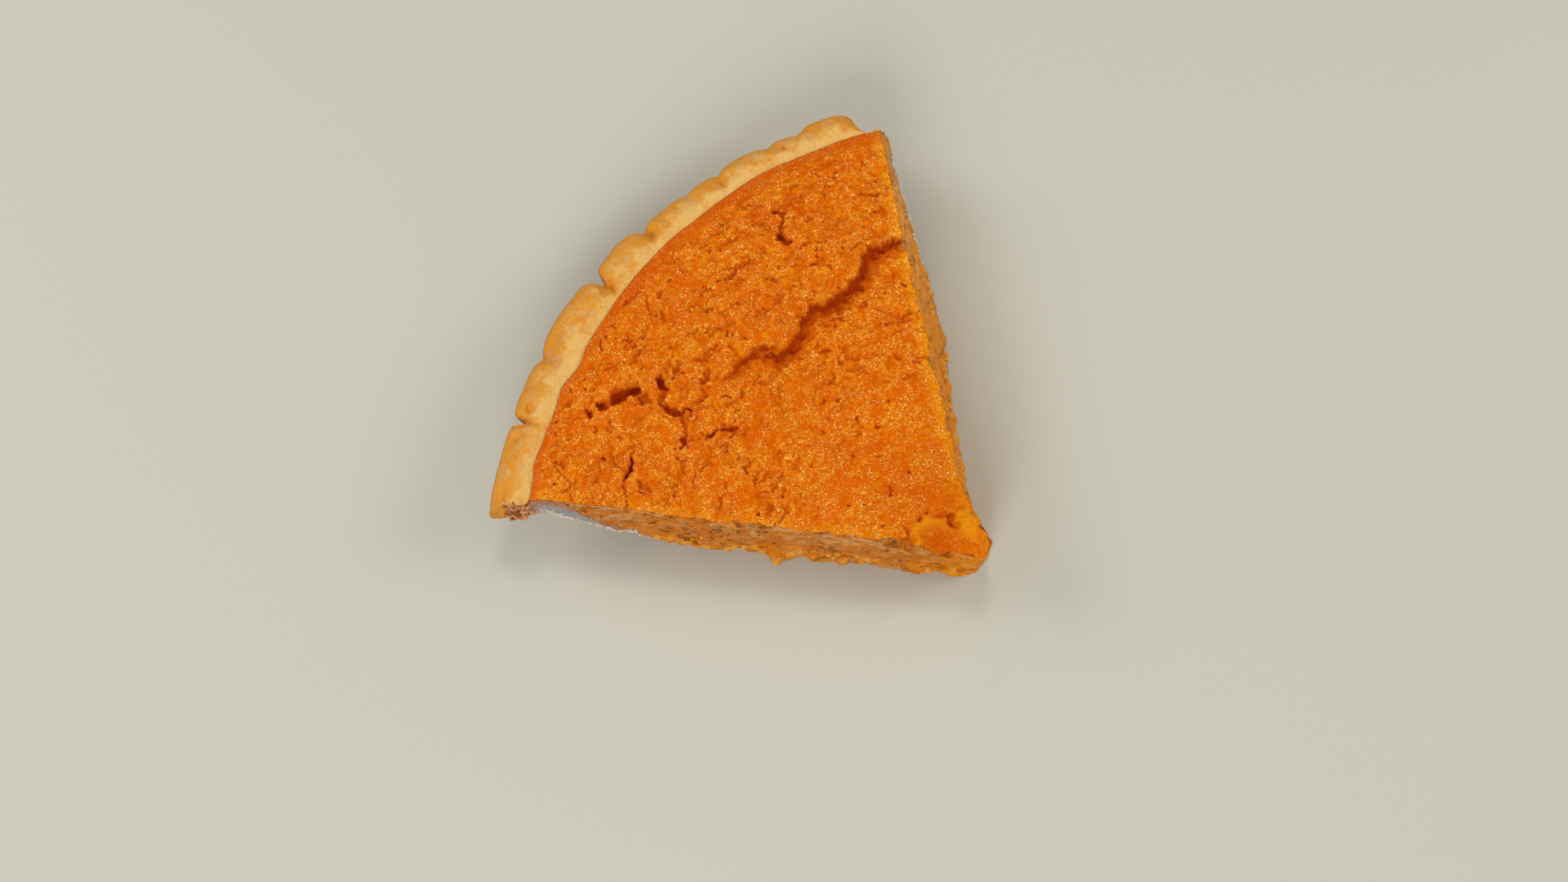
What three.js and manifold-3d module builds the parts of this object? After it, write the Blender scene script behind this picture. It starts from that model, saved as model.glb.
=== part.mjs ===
// A slice of sweet potato pie: a fifth of a nine inch pie with two rough cut faces and a broken tip.
// Millimetres, +Z up, standing on its flat underside. Shapes are worked out about the centre of the
// whole pie, with +Y running from there to the middle of the rim. That centre's place puts the
// slice's own box over the origin.
// A place on the slice is given by its radius from the pie's centre and by its share of the half
// angle: +1 on the front cut, -1 on the right cut.
import * as THREE from 'three';
import Module from 'manifold-3d';
import { mergeVertices } from 'three/addons/utils/BufferGeometryUtils.js';

const degree = Math.PI / 180;

// Driving dimensions of the slice
const sliceAngle = 72;
const fillingLevel = 27.4;
const rimRadius = 119.2;
const fillingRadius = 109.5;
const wallFootRadius = 80;
const rootRadius = 4;
const pieCentre = new THREE.Vector2(0.7, -59.7);
const gap = 0.5;

// Pastry: its top under the filling and its underside on the pan, as radius and height
const pastryTop = [
  [0, 2.0], [78, 2.0], [80, 2.6], [83, 5.2], [86.6, 9.2], [90.1, 13.6],
  [93.6, 17.6], [96.5, 20.8], [98.5, 23.0], [100.5, 24.5], [103, 25.3], [109.5, 25.7],
];
const pastryUnderside = [
  [0, 0], [75, 0], [78.5, 1.1], [82, 3.3], [86.7, 6.7], [90.4, 9.7],
  [94.2, 12.7], [97.8, 15.5], [101.4, 17.7], [105, 18.9], [109.5, 19.2],
];

// Rim: share of its width outside the filling, height of its top and of its underside there
const rimSection = [
  [0.12, 26.0, 19.2], [0.26, 26.6, 19.1], [0.42, 26.8, 19.0], [0.58, 26.4, 18.9],
  [0.72, 25.6, 18.9], [0.84, 24.6, 19.0], [0.93, 23.5, 19.3], [0.985, 22.2, 20.0],
];

// Lobes of the finger-pressed rim from the front cut to the right cut: the angle where each ends,
// how far its middle bulges past the rim's radius and how deep the notch after it bites
const rimLobes = [
  { end: 24.5, bulge: 0.5, notch: 2.8, notchWidth: 0.45 },
  { end: 16.3, bulge: 0.9, notch: 0.6, notchWidth: 0.8 },
  { end: 4.5, bulge: 1.9, notch: 3.2, notchWidth: 0.7 },
  { end: -3.7, bulge: 1.8, notch: 1.3, notchWidth: 0.7 },
  { end: -10.6, bulge: 0.5, notch: 0.5, notchWidth: 0.7 },
  { end: -15.5, bulge: 0.4, notch: 0.5, notchWidth: 0.8 },
  { end: -22.4, bulge: 1.0, notch: 0.3, notchWidth: 0.8 },
  { end: -26.6, bulge: 0.8, notch: 0.1, notchWidth: 0.5 },
  { end: -35.0, bulge: 2.4, notch: 3.8, notchWidth: 1.3 },
];

// Right end of the rim, where a piece broke off: the angle where that starts, its run and its depth
const brokenEnd = { from: 34, over: 1.5, depth: 3.4 };

// Edge between filling and rim: how far it lies inside the filling's radius, how far it runs out
// towards the right cut and from where, and its bumps (angle, width, height)
const edgeLine = {
  inset: 0.5, runOut: 3.9, runOutFrom: 22, runOutOver: 56, wander: 0.35,
  bumps: [[15.2, 1.6, -0.7], [19.4, 1.6, 1.0], [29.5, 1.5, 0.7]],
};

// Finger dents in the rim: angle, radius, size and depth
const rimDents = [
  { angle: 33.2, radius: 115.5, size: 3.0, depth: 0.9 },
  { angle: 26.6, radius: 116.0, size: 1.8, depth: 0.6 },
  { angle: 22.9, radius: 115.6, size: 2.0, depth: 0.9 },
  { angle: 14.7, radius: 117.4, size: 2.0, depth: 0.8 },
  { angle: 12.6, radius: 117.2, size: 1.8, depth: 0.7 },
  { angle: 5.2, radius: 114.6, size: 2.2, depth: 1.0 },
  { angle: -4.2, radius: 115.6, size: 2.2, depth: 1.2 },
  { angle: -6.6, radius: 115.2, size: 1.8, depth: 0.8 },
  { angle: -15.2, radius: 115.4, size: 1.8, depth: 0.8 },
  { angle: -23.8, radius: 116.8, size: 1.8, depth: 1.0 },
];

// Cut faces. Each runs in its direction past the pie's centre, which it misses by its inset. Its foot
// stands out past its top edge by its slant, and by its belly more around one radius. The pastry's
// wall and the rim's end stand out of the face, or behind it where the pastry broke away.
const frontCut = {
  side: 1, direction: 35.5, inset: 2.4, slant: 2.3, belly: 0, wallJut: 1.2, rimJut: 2.0, rimFrom: 107,
  relief: 0.7, lumps: 1.7, seed: 11,
};
const rightCut = {
  side: -1, direction: 36.6, inset: 0.2, slant: 4.5, belly: 2.6, wallJut: 1.0, rimJut: -2.6, rimFrom: 112.5,
  relief: 0.8, lumps: 0.9, seed: 23,
};
const bellyRadius = 70;
const bellyReach = 34;

// The broken tip: the line it broke along, its blunt end, how it sank and how its front edge sags
const tip = {
  line: [[-10.5, 15.8], [-6.0, 15.0], [-3.0, 15.2], [1.4, 12.4], [3.8, 11.4], [6.4, 9.8], [11.5, 8.2]],
  length: 20, halfWidth: 2.2, shift: 2.9, draw: 3.3, bulge: 2.2, drop: 0.9, tilt: 0.24,
  sag: { at: [-3.2, 6.2], size: 4.8, depth: 4.0 }, crackWidth: 1.2, crackDepth: 1.5,
};

// The long crack that crosses the filling: its rim side stands higher than its tip side
const ledge = {
  path: [
    [47.8, 66.9], [42.6, 69.4], [36.1, 68.4], [31.9, 67.8], [27.3, 68.9], [20.8, 70.9], [17.8, 71.3],
    [12.8, 69.0], [6.4, 68.8], [3.8, 69.8], [2.4, 73.6], [-4.0, 75.0],
  ],
  width: 2.6, depth: 3.6, lean: 0.9, rise: 0.9, fall: 0.8, reach: 12,
};

// Smaller cracks of the filling
const cracks = [
  { path: [[-31.5, 92.0], [-28.2, 91.4], [-25.6, 90.4], [-22.9, 89.2]], width: 2.5, depth: 3.2 },
  { path: [[-23.8, 89.0], [-24.3, 86.3], [-25.0, 84.2]], width: 1.5, depth: 2.0 },
  { path: [[-10.0, 86.6], [-12.7, 85.9], [-15.6, 84.6]], width: 1.3, depth: 1.6 },
  {
    path: [[-17.6, 88.6], [-19.7, 86.0], [-20.7, 84.0], [-23.0, 80.8], [-21.6, 77.6], [-18.8, 75.8]],
    width: 1.9, depth: 2.6,
  },
  { path: [[-20.4, 76.0], [-22.6, 73.1], [-25.6, 71.2], [-29.2, 69.4]], width: 1.6, depth: 2.2 },
  { path: [[-8.0, 80.2], [-11.1, 79.1], [-14.0, 76.4], [-17.0, 75.2]], width: 1.5, depth: 1.8 },
  { path: [[-1.8, 83.4], [-5.2, 83.1], [-8.0, 82.8]], width: 1.3, depth: 1.6 },
  { path: [[19.0, 91.8], [16.1, 92.2], [13.2, 91.2]], width: 1.3, depth: 1.6 },
  { path: [[40.6, 97.2], [36.6, 94.1], [32.6, 93.0], [28.9, 90.2], [28.8, 86.8]], width: 1.5, depth: 1.8 },
  { path: [[-21.9, 68.8], [-17.3, 65.9], [-11.2, 62.3]], width: 1.1, depth: 1.4 },
  { path: [[-37.6, 78.2], [-41.5, 76.4], [-44.4, 74.8], [-47.6, 71.2]], width: 1.5, depth: 2.6 },
  { path: [[31.4, 78.3], [27.4, 79.2]], width: 1.1, depth: 1.4 },
];

// Round holes of the filling: place and radius
const holes = [
  { at: [-32.5, 92.8], radius: 1.7 }, { at: [-36.3, 93.8], radius: 1.4 }, { at: [-37.4, 99.3], radius: 0.7 },
  { at: [-50.4, 90.4], radius: 1.1 }, { at: [-35.2, 83.8], radius: 0.8 }, { at: [41.4, 62.5], radius: 0.9 },
  { at: [3.4, 11.6], radius: 1.7 }, { at: [-6.6, 14.6], radius: 1.3 },
];

// Mesh spacing
const topSpacing = 2.7;
const faceSpacing = 2.9;
const hiddenSpacing = 8;
const floorSpacing = 5;
const rimSpacing = 1.35;
const wallRows = 11;

const clamp = (value, low, high) => Math.min(high, Math.max(low, value));

function ease(t) {
  const share = clamp(t, 0, 1);
  return share * share * (3 - 2 * share);
}

const hump = (distance, size) => Math.exp(-((distance / size) ** 2));

// Height along a list of [radius, height] points, straight between them.
function along(points, x) {
  let i = 1;
  while (i < points.length - 1 && points[i][0] < x) i += 1;
  const [x0, y0] = points[i - 1];
  const [x1, y1] = points[i];
  return y0 + (y1 - y0) * clamp((x - x0) / (x1 - x0), 0, 1);
}

// Seeded random number in 0..1 at a whole-numbered place.
function lattice(i, j, seed) {
  let h = Math.imul(i, 374761393) ^ Math.imul(j, 668265263) ^ Math.imul(seed, 1274126177);
  h = Math.imul(h ^ (h >>> 13), 1103515245);
  return ((h ^ (h >>> 16)) >>> 0) / 2 ** 32;
}

// Smooth noise in -1..1 with lumps about one unit across.
function noise(x, y, seed) {
  const i = Math.floor(x);
  const j = Math.floor(y);
  const u = ease(x - i);
  const v = ease(y - j);
  const low = lattice(i, j, seed) * (1 - u) + lattice(i + 1, j, seed) * u;
  const high = lattice(i, j + 1, seed) * (1 - u) + lattice(i + 1, j + 1, seed) * u;
  return 2 * (low * (1 - v) + high * v) - 1;
}

// Distance from a point to a path of [x, y] points, and the side it lies on: +1 left of its run.
function nearest(path, x, y) {
  let best = { distance: Infinity, side: 1, share: 0 };
  for (let i = 1; i < path.length; i += 1) {
    const [ax, ay] = path[i - 1];
    const [dx, dy] = [path[i][0] - ax, path[i][1] - ay];
    const t = clamp(((x - ax) * dx + (y - ay) * dy) / (dx * dx + dy * dy), 0, 1);
    const distance = Math.hypot(x - ax - t * dx, y - ay - t * dy);
    if (distance < best.distance) {
      const side = Math.sign(dx * (y - ay) - dy * (x - ax)) || 1;
      best = { distance, side, share: (i - 1 + t) / (path.length - 1) };
    }
  }
  return best;
}

// Radius of the edge between filling and rim: it wanders, and runs out towards the right cut.
function fillingEdge(angle) {
  let radius = fillingRadius - edgeLine.inset + edgeLine.wander * noise(angle / 4.5, 0, 5);
  radius += edgeLine.runOut * clamp((edgeLine.runOutFrom - angle) / edgeLine.runOutOver, 0, 1) ** 1.3;
  for (const [at, width, height] of edgeLine.bumps) radius += height * hump(angle - at, width);
  return radius;
}

// Radius of the rim's outer edge: bulging lobes with a notch between each two.
function rimEdge(angle) {
  let radius = rimRadius;
  let start = sliceAngle / 2;
  for (const lobe of rimLobes) {
    if (angle <= start && angle > lobe.end) {
      radius += lobe.bulge * Math.sin(Math.PI * (start - angle) / (start - lobe.end)) ** 0.5;
    }
    radius -= lobe.notch * hump(angle - lobe.end, lobe.notchWidth);
    start = lobe.end;
  }
  const broken = brokenEnd.depth * ease((-angle - brokenEnd.from) / brokenEnd.over);
  return radius - broken + 0.15 * noise(angle / 1.7, 3, 7);
}

// How much lower the rim lies at an angle and radius than its even section.
function rimSink(angle, radius) {
  let sink = 0;
  for (const lobe of rimLobes) {
    sink += 0.45 * lobe.notch ** 0.6 * hump(angle - lobe.end, 1.4 * lobe.notchWidth);
  }
  for (const dent of rimDents) {
    const across = (angle - dent.angle) * degree * radius;
    sink += dent.depth * hump(Math.hypot(across, radius - dent.radius), dent.size);
  }
  return sink - 0.3 * noise(angle / 3.2, radius / 4, 9);
}

// How far a cut face stands out at a radius and height: its slant, crags and the lumps at its foot.
function cutOffset(cut, radius, height) {
  const down = 1 - height / fillingLevel;
  const boulders = noise(radius / 6.5, height / 2.6, cut.seed);
  const crags = boulders + 0.6 * noise(radius / 3.1, height / 2.1, cut.seed + 1);
  const wander = noise(radius / 17, 0.5, cut.seed + 2);
  const lumps = Math.max(0, noise(radius / 5.2, height / 6, cut.seed + 3)) * hump(height, 4.5);
  const inFilling = 1 - 0.7 * ease((radius - 80) / 10);
  const inRim = ease((radius - cut.rimFrom) / 4);
  const inWall = ease((radius - 84) / 8) * ease(3 * down);
  const flakes = inRim * ease(down * 4) * (0.8 + noise(radius / 1.9, height / 1.7, cut.seed + 4));
  const belly = cut.belly * hump(radius - bellyRadius, bellyReach);
  const slant = (cut.slant + belly) * (0.3 + 0.7 * ease((radius - rootRadius) / 14));
  const rough = cut.relief * (0.55 * crags + 0.5 * wander * ease(3 * down)) + cut.lumps * lumps;
  return slant * down + inFilling * rough + cut.wallJut * inWall + cut.rimJut * inRim + 0.9 * flakes;
}

// Angle of a place in degrees: a share of the way to the cut on its side.
function angleAt(share, radius) {
  const cut = share > 0 ? frontCut : rightCut;
  return share * (cut.direction - Math.asin(cut.inset / radius) / degree);
}

// Puts a place (share of the half angle, radius, height) into space.
function place(share, radius, height) {
  const cut = share > 0 ? frontCut : rightCut;
  const angle = angleAt(share, radius) * degree;
  const edgeOnly = 2 + 4 * ease((radius - rootRadius) / 18);
  const outward = Math.abs(share) ** edgeOnly * cutOffset(cut, radius, height);
  const nearTip = ease(1 - radius / tip.length);
  const x = -radius * Math.sin(angle) + nearTip * (tip.shift - tip.halfWidth * share);
  const y = radius * Math.cos(angle) - nearTip * (tip.draw + tip.bulge * (1 - share * share));
  const normalX = -cut.side * Math.cos(cut.direction * degree);
  const normalY = -Math.sin(cut.direction * degree);
  return new THREE.Vector3(x + outward * normalX, y + outward * normalY, height);
}

// Height of the filling's top over a point, seen from the pie's centre.
function topHeight(x, y) {
  const radius = Math.hypot(x, y);
  const angle = Math.atan2(-x, y) / degree;
  const waves = 0.45 * noise(x / 19, y / 19, 31) + 0.3 * noise(x / 7, y / 7, 32);
  const edgeRoll = 1.1 * hump(Math.max(0, fillingEdge(angle) - radius), 2.4);
  const crack = nearest(ledge.path, x, y);
  const ends = ease(crack.share * 8) * ease((1 - crack.share) * 4);
  const step = ease(crack.distance / ledge.width) * Math.exp(-crack.distance / ledge.reach) * ends;
  const lift = crack.side < 0 ? ledge.rise * step : -ledge.fall * step;
  const broken = nearest(tip.line, x, y);
  const beyond = broken.side < 0 && radius < tip.length ? broken.distance : 0;
  const sunk = beyond > 0 ? tip.drop * ease(beyond / 1.5) + tip.tilt * beyond : 0;
  const sag = tip.sag.depth * hump(Math.hypot(x - tip.sag.at[0], y - tip.sag.at[1]), tip.sag.size);
  return fillingLevel + waves - edgeRoll + lift - sunk - sag;
}

// True radius for a nominal one: beyond the wall's foot it stretches to the wandering edge.
function stretched(nominal, share) {
  const beyond = clamp((nominal - wallFootRadius) / (fillingRadius - wallFootRadius), 0, 1);
  return nominal + beyond * (fillingEdge(angleAt(share, nominal)) - fillingRadius);
}

// A closed body between an upper and a lower sheet of rows. Each sheet's row holds places from the
// front cut to the right cut; row 0 runs across the tip and the last row along the back.
class SliceBody {
  constructor() {
    this.positions = [];
    this.triangles = [];
  }

  add(spot) {
    const point = place(spot.share, spot.radius, spot.height);
    this.positions.push(point.x + pieCentre.x, point.y + pieCentre.y, point.z);
    return { ...spot, index: this.positions.length / 3 - 1 };
  }

  // Fills the strip between two rows of any lengths with triangles.
  zip(near, far) {
    let i = 0;
    let j = 0;
    while (i < near.length - 1 || j < far.length - 1) {
      const stepNear = j === far.length - 1
        || (i < near.length - 1 && (i + 1) / (near.length - 1) <= (j + 1) / (far.length - 1));
      if (stepNear) {
        this.triangles.push(near[i].index, near[i + 1].index, far[j].index);
        i += 1;
      } else {
        this.triangles.push(near[i].index, far[j + 1].index, far[j].index);
        j += 1;
      }
    }
  }

  // Places from an upper edge spot down to the lower one, spaced for the cut face.
  column(upper, lower) {
    const steps = Math.max(1, Math.round(Math.abs(upper.height - lower.height) / faceSpacing));
    const spots = [upper];
    for (let k = 1; k < steps; k += 1) {
      const t = k / steps;
      spots.push(this.add({
        share: upper.share,
        radius: upper.radius + t * (lower.radius - upper.radius),
        height: upper.height + t * (lower.height - upper.height),
      }));
    }
    return [...spots, lower];
  }

  close(upperRows, lowerRows) {
    const last = upperRows.length - 1;
    for (let i = 0; i < last; i += 1) {
      this.zip(upperRows[i], upperRows[i + 1]);
      this.zip(lowerRows[i + 1], lowerRows[i]);
    }
    const columns = [];
    for (let i = last; i > 0; i -= 1) columns.push(this.column(upperRows[i][0], lowerRows[i][0]));
    upperRows[0].forEach((spot, k) => columns.push(this.column(spot, lowerRows[0][k])));
    for (let i = 1; i <= last; i += 1) columns.push(this.column(upperRows[i].at(-1), lowerRows[i].at(-1)));
    for (let i = 1; i < columns.length; i += 1) this.zip(columns[i - 1], columns[i]);
    this.zip(upperRows[last], lowerRows[last]);
  }

  geometry() {
    const geometry = new THREE.BufferGeometry();
    geometry.setAttribute('position', new THREE.Float32BufferAttribute(this.positions, 3));
    geometry.setIndex(this.triangles);
    return geometry;
  }
}

// One row of a sheet: the spots at a nominal radius, as many as the spacing asks for.
function makeRow(body, nominal, spacing, spotAt) {
  const count = Math.max(6, Math.ceil(nominal * sliceAngle * degree / spacing));
  const row = [];
  for (let k = 0; k <= count; k += 1) {
    const share = 1 - 2 * k / count;
    row.push(body.add({ share, ...spotAt(share) }));
  }
  return row;
}

// Nominal radii of the rows: even steps to the wall's foot, then the wall's rows to the filling's edge.
function rowRadii(spacing) {
  const radii = [];
  const steps = Math.round((wallFootRadius - rootRadius) / spacing);
  for (let i = 0; i < steps; i += 1) radii.push(rootRadius + (wallFootRadius - rootRadius) * i / steps);
  for (let i = 0; i <= wallRows; i += 1) {
    radii.push(wallFootRadius + (fillingRadius - wallFootRadius) * i / wallRows);
  }
  return radii;
}

function makeFilling() {
  const body = new SliceBody();
  const radii = rowRadii(topSpacing);
  const upperRows = radii.map((nominal) => makeRow(body, nominal, topSpacing, (share) => {
    const radius = stretched(nominal, share);
    const over = place(share, radius, fillingLevel);
    return { radius, height: topHeight(over.x, over.y) };
  }));
  const lowerRows = radii.map((nominal) => makeRow(body, nominal, hiddenSpacing, (share) => (
    { radius: stretched(nominal, share), height: along(pastryTop, nominal) + gap }
  )));
  body.close(upperRows, lowerRows);
  return body.geometry();
}

function makeCrust() {
  const body = new SliceBody();
  const upperRows = [];
  const lowerRows = [];
  for (const nominal of rowRadii(floorSpacing)) {
    const isWall = nominal >= wallFootRadius;
    const spacing = isWall ? floorSpacing * 0.8 : hiddenSpacing;
    upperRows.push(makeRow(body, nominal, spacing, (share) => (
      { radius: stretched(nominal, share), height: along(pastryTop, nominal) }
    )));
    lowerRows.push(makeRow(body, nominal, spacing, (share) => (
      { radius: stretched(nominal, share), height: along(pastryUnderside, nominal) }
    )));
  }
  for (const [width, topLevel, underLevel] of rimSection) {
    const radiusAt = (share) => {
      const angle = angleAt(share, rimRadius);
      return fillingEdge(angle) + width * (rimEdge(angle) - fillingEdge(angle));
    };
    upperRows.push(makeRow(body, rimRadius, rimSpacing, (share) => {
      const radius = radiusAt(share);
      const sink = rimSink(angleAt(share, rimRadius), radius) * Math.min(1, 3 * width);
      return { radius, height: topLevel - sink };
    }));
    lowerRows.push(makeRow(body, rimRadius, floorSpacing * 0.6, (share) => (
      { radius: radiusAt(share), height: underLevel }
    )));
  }
  body.close(upperRows, lowerRows);
  return body.geometry();
}

// The tool that opens a crack: a V-shaped trench along the path, leaning under its left side.
function crackTool({ path, width, depth, lean = 0 }) {
  const headroom = 3;
  const points = path.map(([x, y]) => new THREE.Vector3(x, y, 0));
  const curve = new THREE.CatmullRomCurve3(points, false, 'centripetal');
  const steps = Math.max(2, Math.round(curve.getLength() / 2.6));
  const positions = [];
  const triangles = [];
  for (let k = 0; k <= steps; k += 1) {
    const t = k / steps;
    const { x, y } = curve.getPointAt(t);
    const run = curve.getTangentAt(t);
    const uneven = 0.8 + 0.35 * noise(x / 3.1, y / 3.1, 41);
    const half = width / 2 * Math.max(0.12, Math.sin(Math.PI * t) ** 0.5 * uneven);
    const level = topHeight(x, y);
    const deep = depth * (0.35 + 0.65 * Math.sin(Math.PI * t)) * uneven;
    const lip = half * (1 + headroom / deep);
    const side = new THREE.Vector3(-run.y, run.x, 0);
    const corners = [
      [-lip, level + headroom], [lip, level + headroom], [-lean * half, level - deep],
    ];
    for (const [across, height] of corners) {
      positions.push(x + side.x * across + pieCentre.x, y + side.y * across + pieCentre.y, height);
    }
    if (k === steps) continue;
    for (let c = 0; c < 3; c += 1) {
      const [a, b] = [3 * k + c, 3 * k + (c + 1) % 3];
      triangles.push(a, a + 3, b, b, a + 3, b + 3);
    }
  }
  const end = 3 * steps;
  triangles.push(0, 1, 2, end, end + 2, end + 1);
  return closedGeometry(positions, triangles);
}

function closedGeometry(positions, triangles) {
  const geometry = new THREE.BufferGeometry();
  geometry.setAttribute('position', new THREE.Float32BufferAttribute(positions, 3));
  geometry.setIndex(triangles);
  return geometry;
}

// The tool that opens a hole: an uneven ball sunk to its middle in the top.
function holeTool({ at: [x, y], radius }) {
  const ball = new THREE.IcosahedronGeometry(radius, 1);
  ball.scale(1, 0.8 + 0.2 * noise(x, y, 43), 1.2);
  ball.rotateZ(Math.PI * noise(x, y, 44));
  ball.translate(x + pieCentre.x, y + pieCentre.y, topHeight(x, y) - radius * 0.2);
  return ball;
}

const wasm = await Module();
wasm.setup();

function toSolid(source) {
  const bare = source.clone();
  bare.deleteAttribute('normal');
  bare.deleteAttribute('uv');
  const merged = mergeVertices(bare, 1e-4);
  const mesh = new wasm.Mesh({
    numProp: 3,
    vertProperties: merged.attributes.position.array,
    triVerts: new Uint32Array(merged.index.array),
  });
  return new wasm.Manifold(mesh);
}

function toGeometry(solid) {
  const mesh = solid.getMesh();
  return closedGeometry(Array.from(mesh.vertProperties), Array.from(mesh.triVerts));
}

// Cuts every tool out of a body and keeps its largest piece.
function cutAway(geometry, tools) {
  let solid = toSolid(geometry);
  for (const tool of tools) solid = solid.subtract(toSolid(tool));
  const pieces = solid.decompose().sort((a, b) => b.volume() - a.volume());
  return toGeometry(pieces[0]);
}

function pieceMesh(name, geometry, color, roughness) {
  const material = new THREE.MeshStandardMaterial({ color, roughness, metalness: 0 });
  const mesh = new THREE.Mesh(geometry, material);
  mesh.name = name;
  return mesh;
}

const tipCrack = { path: tip.line, width: tip.crackWidth, depth: tip.crackDepth };
const crackTools = [ledge, tipCrack, ...cracks].map(crackTool);
const filling = cutAway(makeFilling(), [...crackTools, ...holes.map(holeTool)]);

const slice = new THREE.Group();
slice.add(pieceMesh('crust', makeCrust(), '#e0b070', 0.75));
slice.add(pieceMesh('filling', filling, '#dc7416', 0.45));

export default slice;
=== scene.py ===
"""A cut slice of sweet potato pie: cracked filling in a pastry shell with a finger-pressed rim."""

import math

import bpy
import numpy as np
from bpy.props import FloatProperty, FloatVectorProperty, IntProperty, PointerProperty
from mathutils import Matrix, Vector


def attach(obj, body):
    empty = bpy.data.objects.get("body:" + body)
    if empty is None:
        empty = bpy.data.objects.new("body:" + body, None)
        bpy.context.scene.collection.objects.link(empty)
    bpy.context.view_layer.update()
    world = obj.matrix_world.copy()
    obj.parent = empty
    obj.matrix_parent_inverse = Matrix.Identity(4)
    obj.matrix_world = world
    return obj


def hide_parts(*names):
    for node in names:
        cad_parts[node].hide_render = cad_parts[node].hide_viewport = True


bl_info = {
    "name": "Sweet Potato Pie Slice",
    "version": (1, 0, 0),
    "blender": (4, 5, 0),
    "location": "3D View > Sidebar > Pie",
    "description": "Builds a cut slice of sweet potato pie with a cracked filling and a pressed rim",
    "category": "Add Mesh",
}

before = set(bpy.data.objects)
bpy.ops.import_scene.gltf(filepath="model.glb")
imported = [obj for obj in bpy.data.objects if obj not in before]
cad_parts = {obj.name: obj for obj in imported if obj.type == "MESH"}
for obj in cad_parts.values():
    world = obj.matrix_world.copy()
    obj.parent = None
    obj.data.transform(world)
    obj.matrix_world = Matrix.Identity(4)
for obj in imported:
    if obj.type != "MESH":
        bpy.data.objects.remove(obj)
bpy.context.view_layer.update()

MM = 0.001
DEGREE = math.pi / 180

# Driving dimensions of the slice in mm. Shapes are worked out about the centre of the whole pie,
# with +Y running from there to the middle of the rim. A place on the slice is given by its radius
# and by its share of the half angle: +1 on the front cut, -1 on the right cut.
SLICE_ANGLE = 72
FILLING_LEVEL = 27.4
RIM_RADIUS = 119.2
FILLING_RADIUS = 109.5
WALL_FOOT_RADIUS = 80
ROOT_RADIUS = 4
PIE_CENTRE = (0.7, -59.7)
CONTACT_GAP = 0.12
THIN_EDGE = 0.45
EDGE_ROWS_FROM = 106.5

# Pastry: its top under the filling and its underside, as radius and height
PASTRY_TOP = [
    (0, 2.0), (78, 2.0), (80, 2.6), (83, 5.2), (86.6, 9.2), (90.1, 13.6),
    (93.6, 17.6), (96.5, 20.8), (98.5, 23.0), (100.5, 24.5), (103, 25.3), (109.5, 25.7),
]
PASTRY_UNDERSIDE = [
    (0, 0), (75, 0), (78.5, 1.1), (82, 3.3), (86.7, 6.7), (90.4, 9.7),
    (94.2, 12.7), (97.8, 15.5), (101.4, 17.7), (105, 18.9), (109.5, 19.2),
]

# Rim: share of its width outside the filling, and the height of its top and of its underside there
RIM_TOP = [
    (0, 25.7), (0.05, 26.0), (0.12, 26.3), (0.26, 26.7), (0.42, 26.8), (0.58, 26.4),
    (0.72, 25.6), (0.84, 24.6), (0.93, 23.4), (0.975, 22.3), (1.0, 21.3),
]
RIM_UNDERSIDE = [
    (0, 19.2), (0.26, 19.1), (0.42, 19.0), (0.72, 18.9), (0.84, 19.0), (0.93, 19.5), (1.0, 20.9),
]

# Lobes of the rim from the front cut to the right cut: the angle where each ends, how far its middle
# bulges past the rim's radius, and the depth and width of the notch after it
RIM_LOBES = [
    (24.5, 0.5, 2.8, 0.45), (16.3, 0.9, 0.6, 0.8), (4.5, 1.9, 3.2, 0.7), (-3.7, 1.8, 1.3, 0.7),
    (-10.6, 0.5, 0.5, 0.7), (-15.5, 0.4, 0.5, 0.8), (-22.4, 1.0, 0.3, 0.8), (-26.6, 0.8, 0.1, 0.5),
    (-35.0, 2.4, 3.8, 1.3),
]

# How squarely a lobe bulges, how much the rim's edge wanders and its top waves, in mm, and how far
# the top sinks beside a notch
LOBE_ROUNDNESS = 0.5
RIM_WANDER = 0.15
RIM_WAVES = 0.3
NOTCH_SINK = 0.45

# Right end of the rim, where a piece broke off: the angle where that starts, its run and its depth
BROKEN_END = (34, 1.5, 3.4)

# Edge between filling and rim: how far it lies inside the filling's radius, how far it runs out
# towards the right cut and from where, how much it wanders, and its bumps (angle, width, height)
EDGE_INSET = 0.5
EDGE_RUN_OUT = 3.9
EDGE_RUN_OUT_FROM = 22
EDGE_RUN_OUT_OVER = 56
EDGE_WANDER = 0.35
EDGE_BUMPS = [(15.2, 1.6, -0.7), (19.4, 1.6, 1.0), (29.5, 1.5, 0.7)]

# Finger dents in the rim: angle, radius, size and depth
RIM_DENTS = [
    (33.2, 115.5, 3.0, 0.9), (26.6, 116.0, 1.8, 0.6), (22.9, 115.6, 2.0, 0.9), (14.7, 117.4, 2.0, 0.8),
    (12.6, 117.2, 1.8, 0.7), (5.2, 114.6, 2.2, 1.0), (-4.2, 115.6, 2.2, 1.2), (-6.6, 115.2, 1.8, 0.8),
    (-15.2, 115.4, 1.8, 0.8), (-23.8, 116.8, 1.8, 1.0),
]

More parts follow.
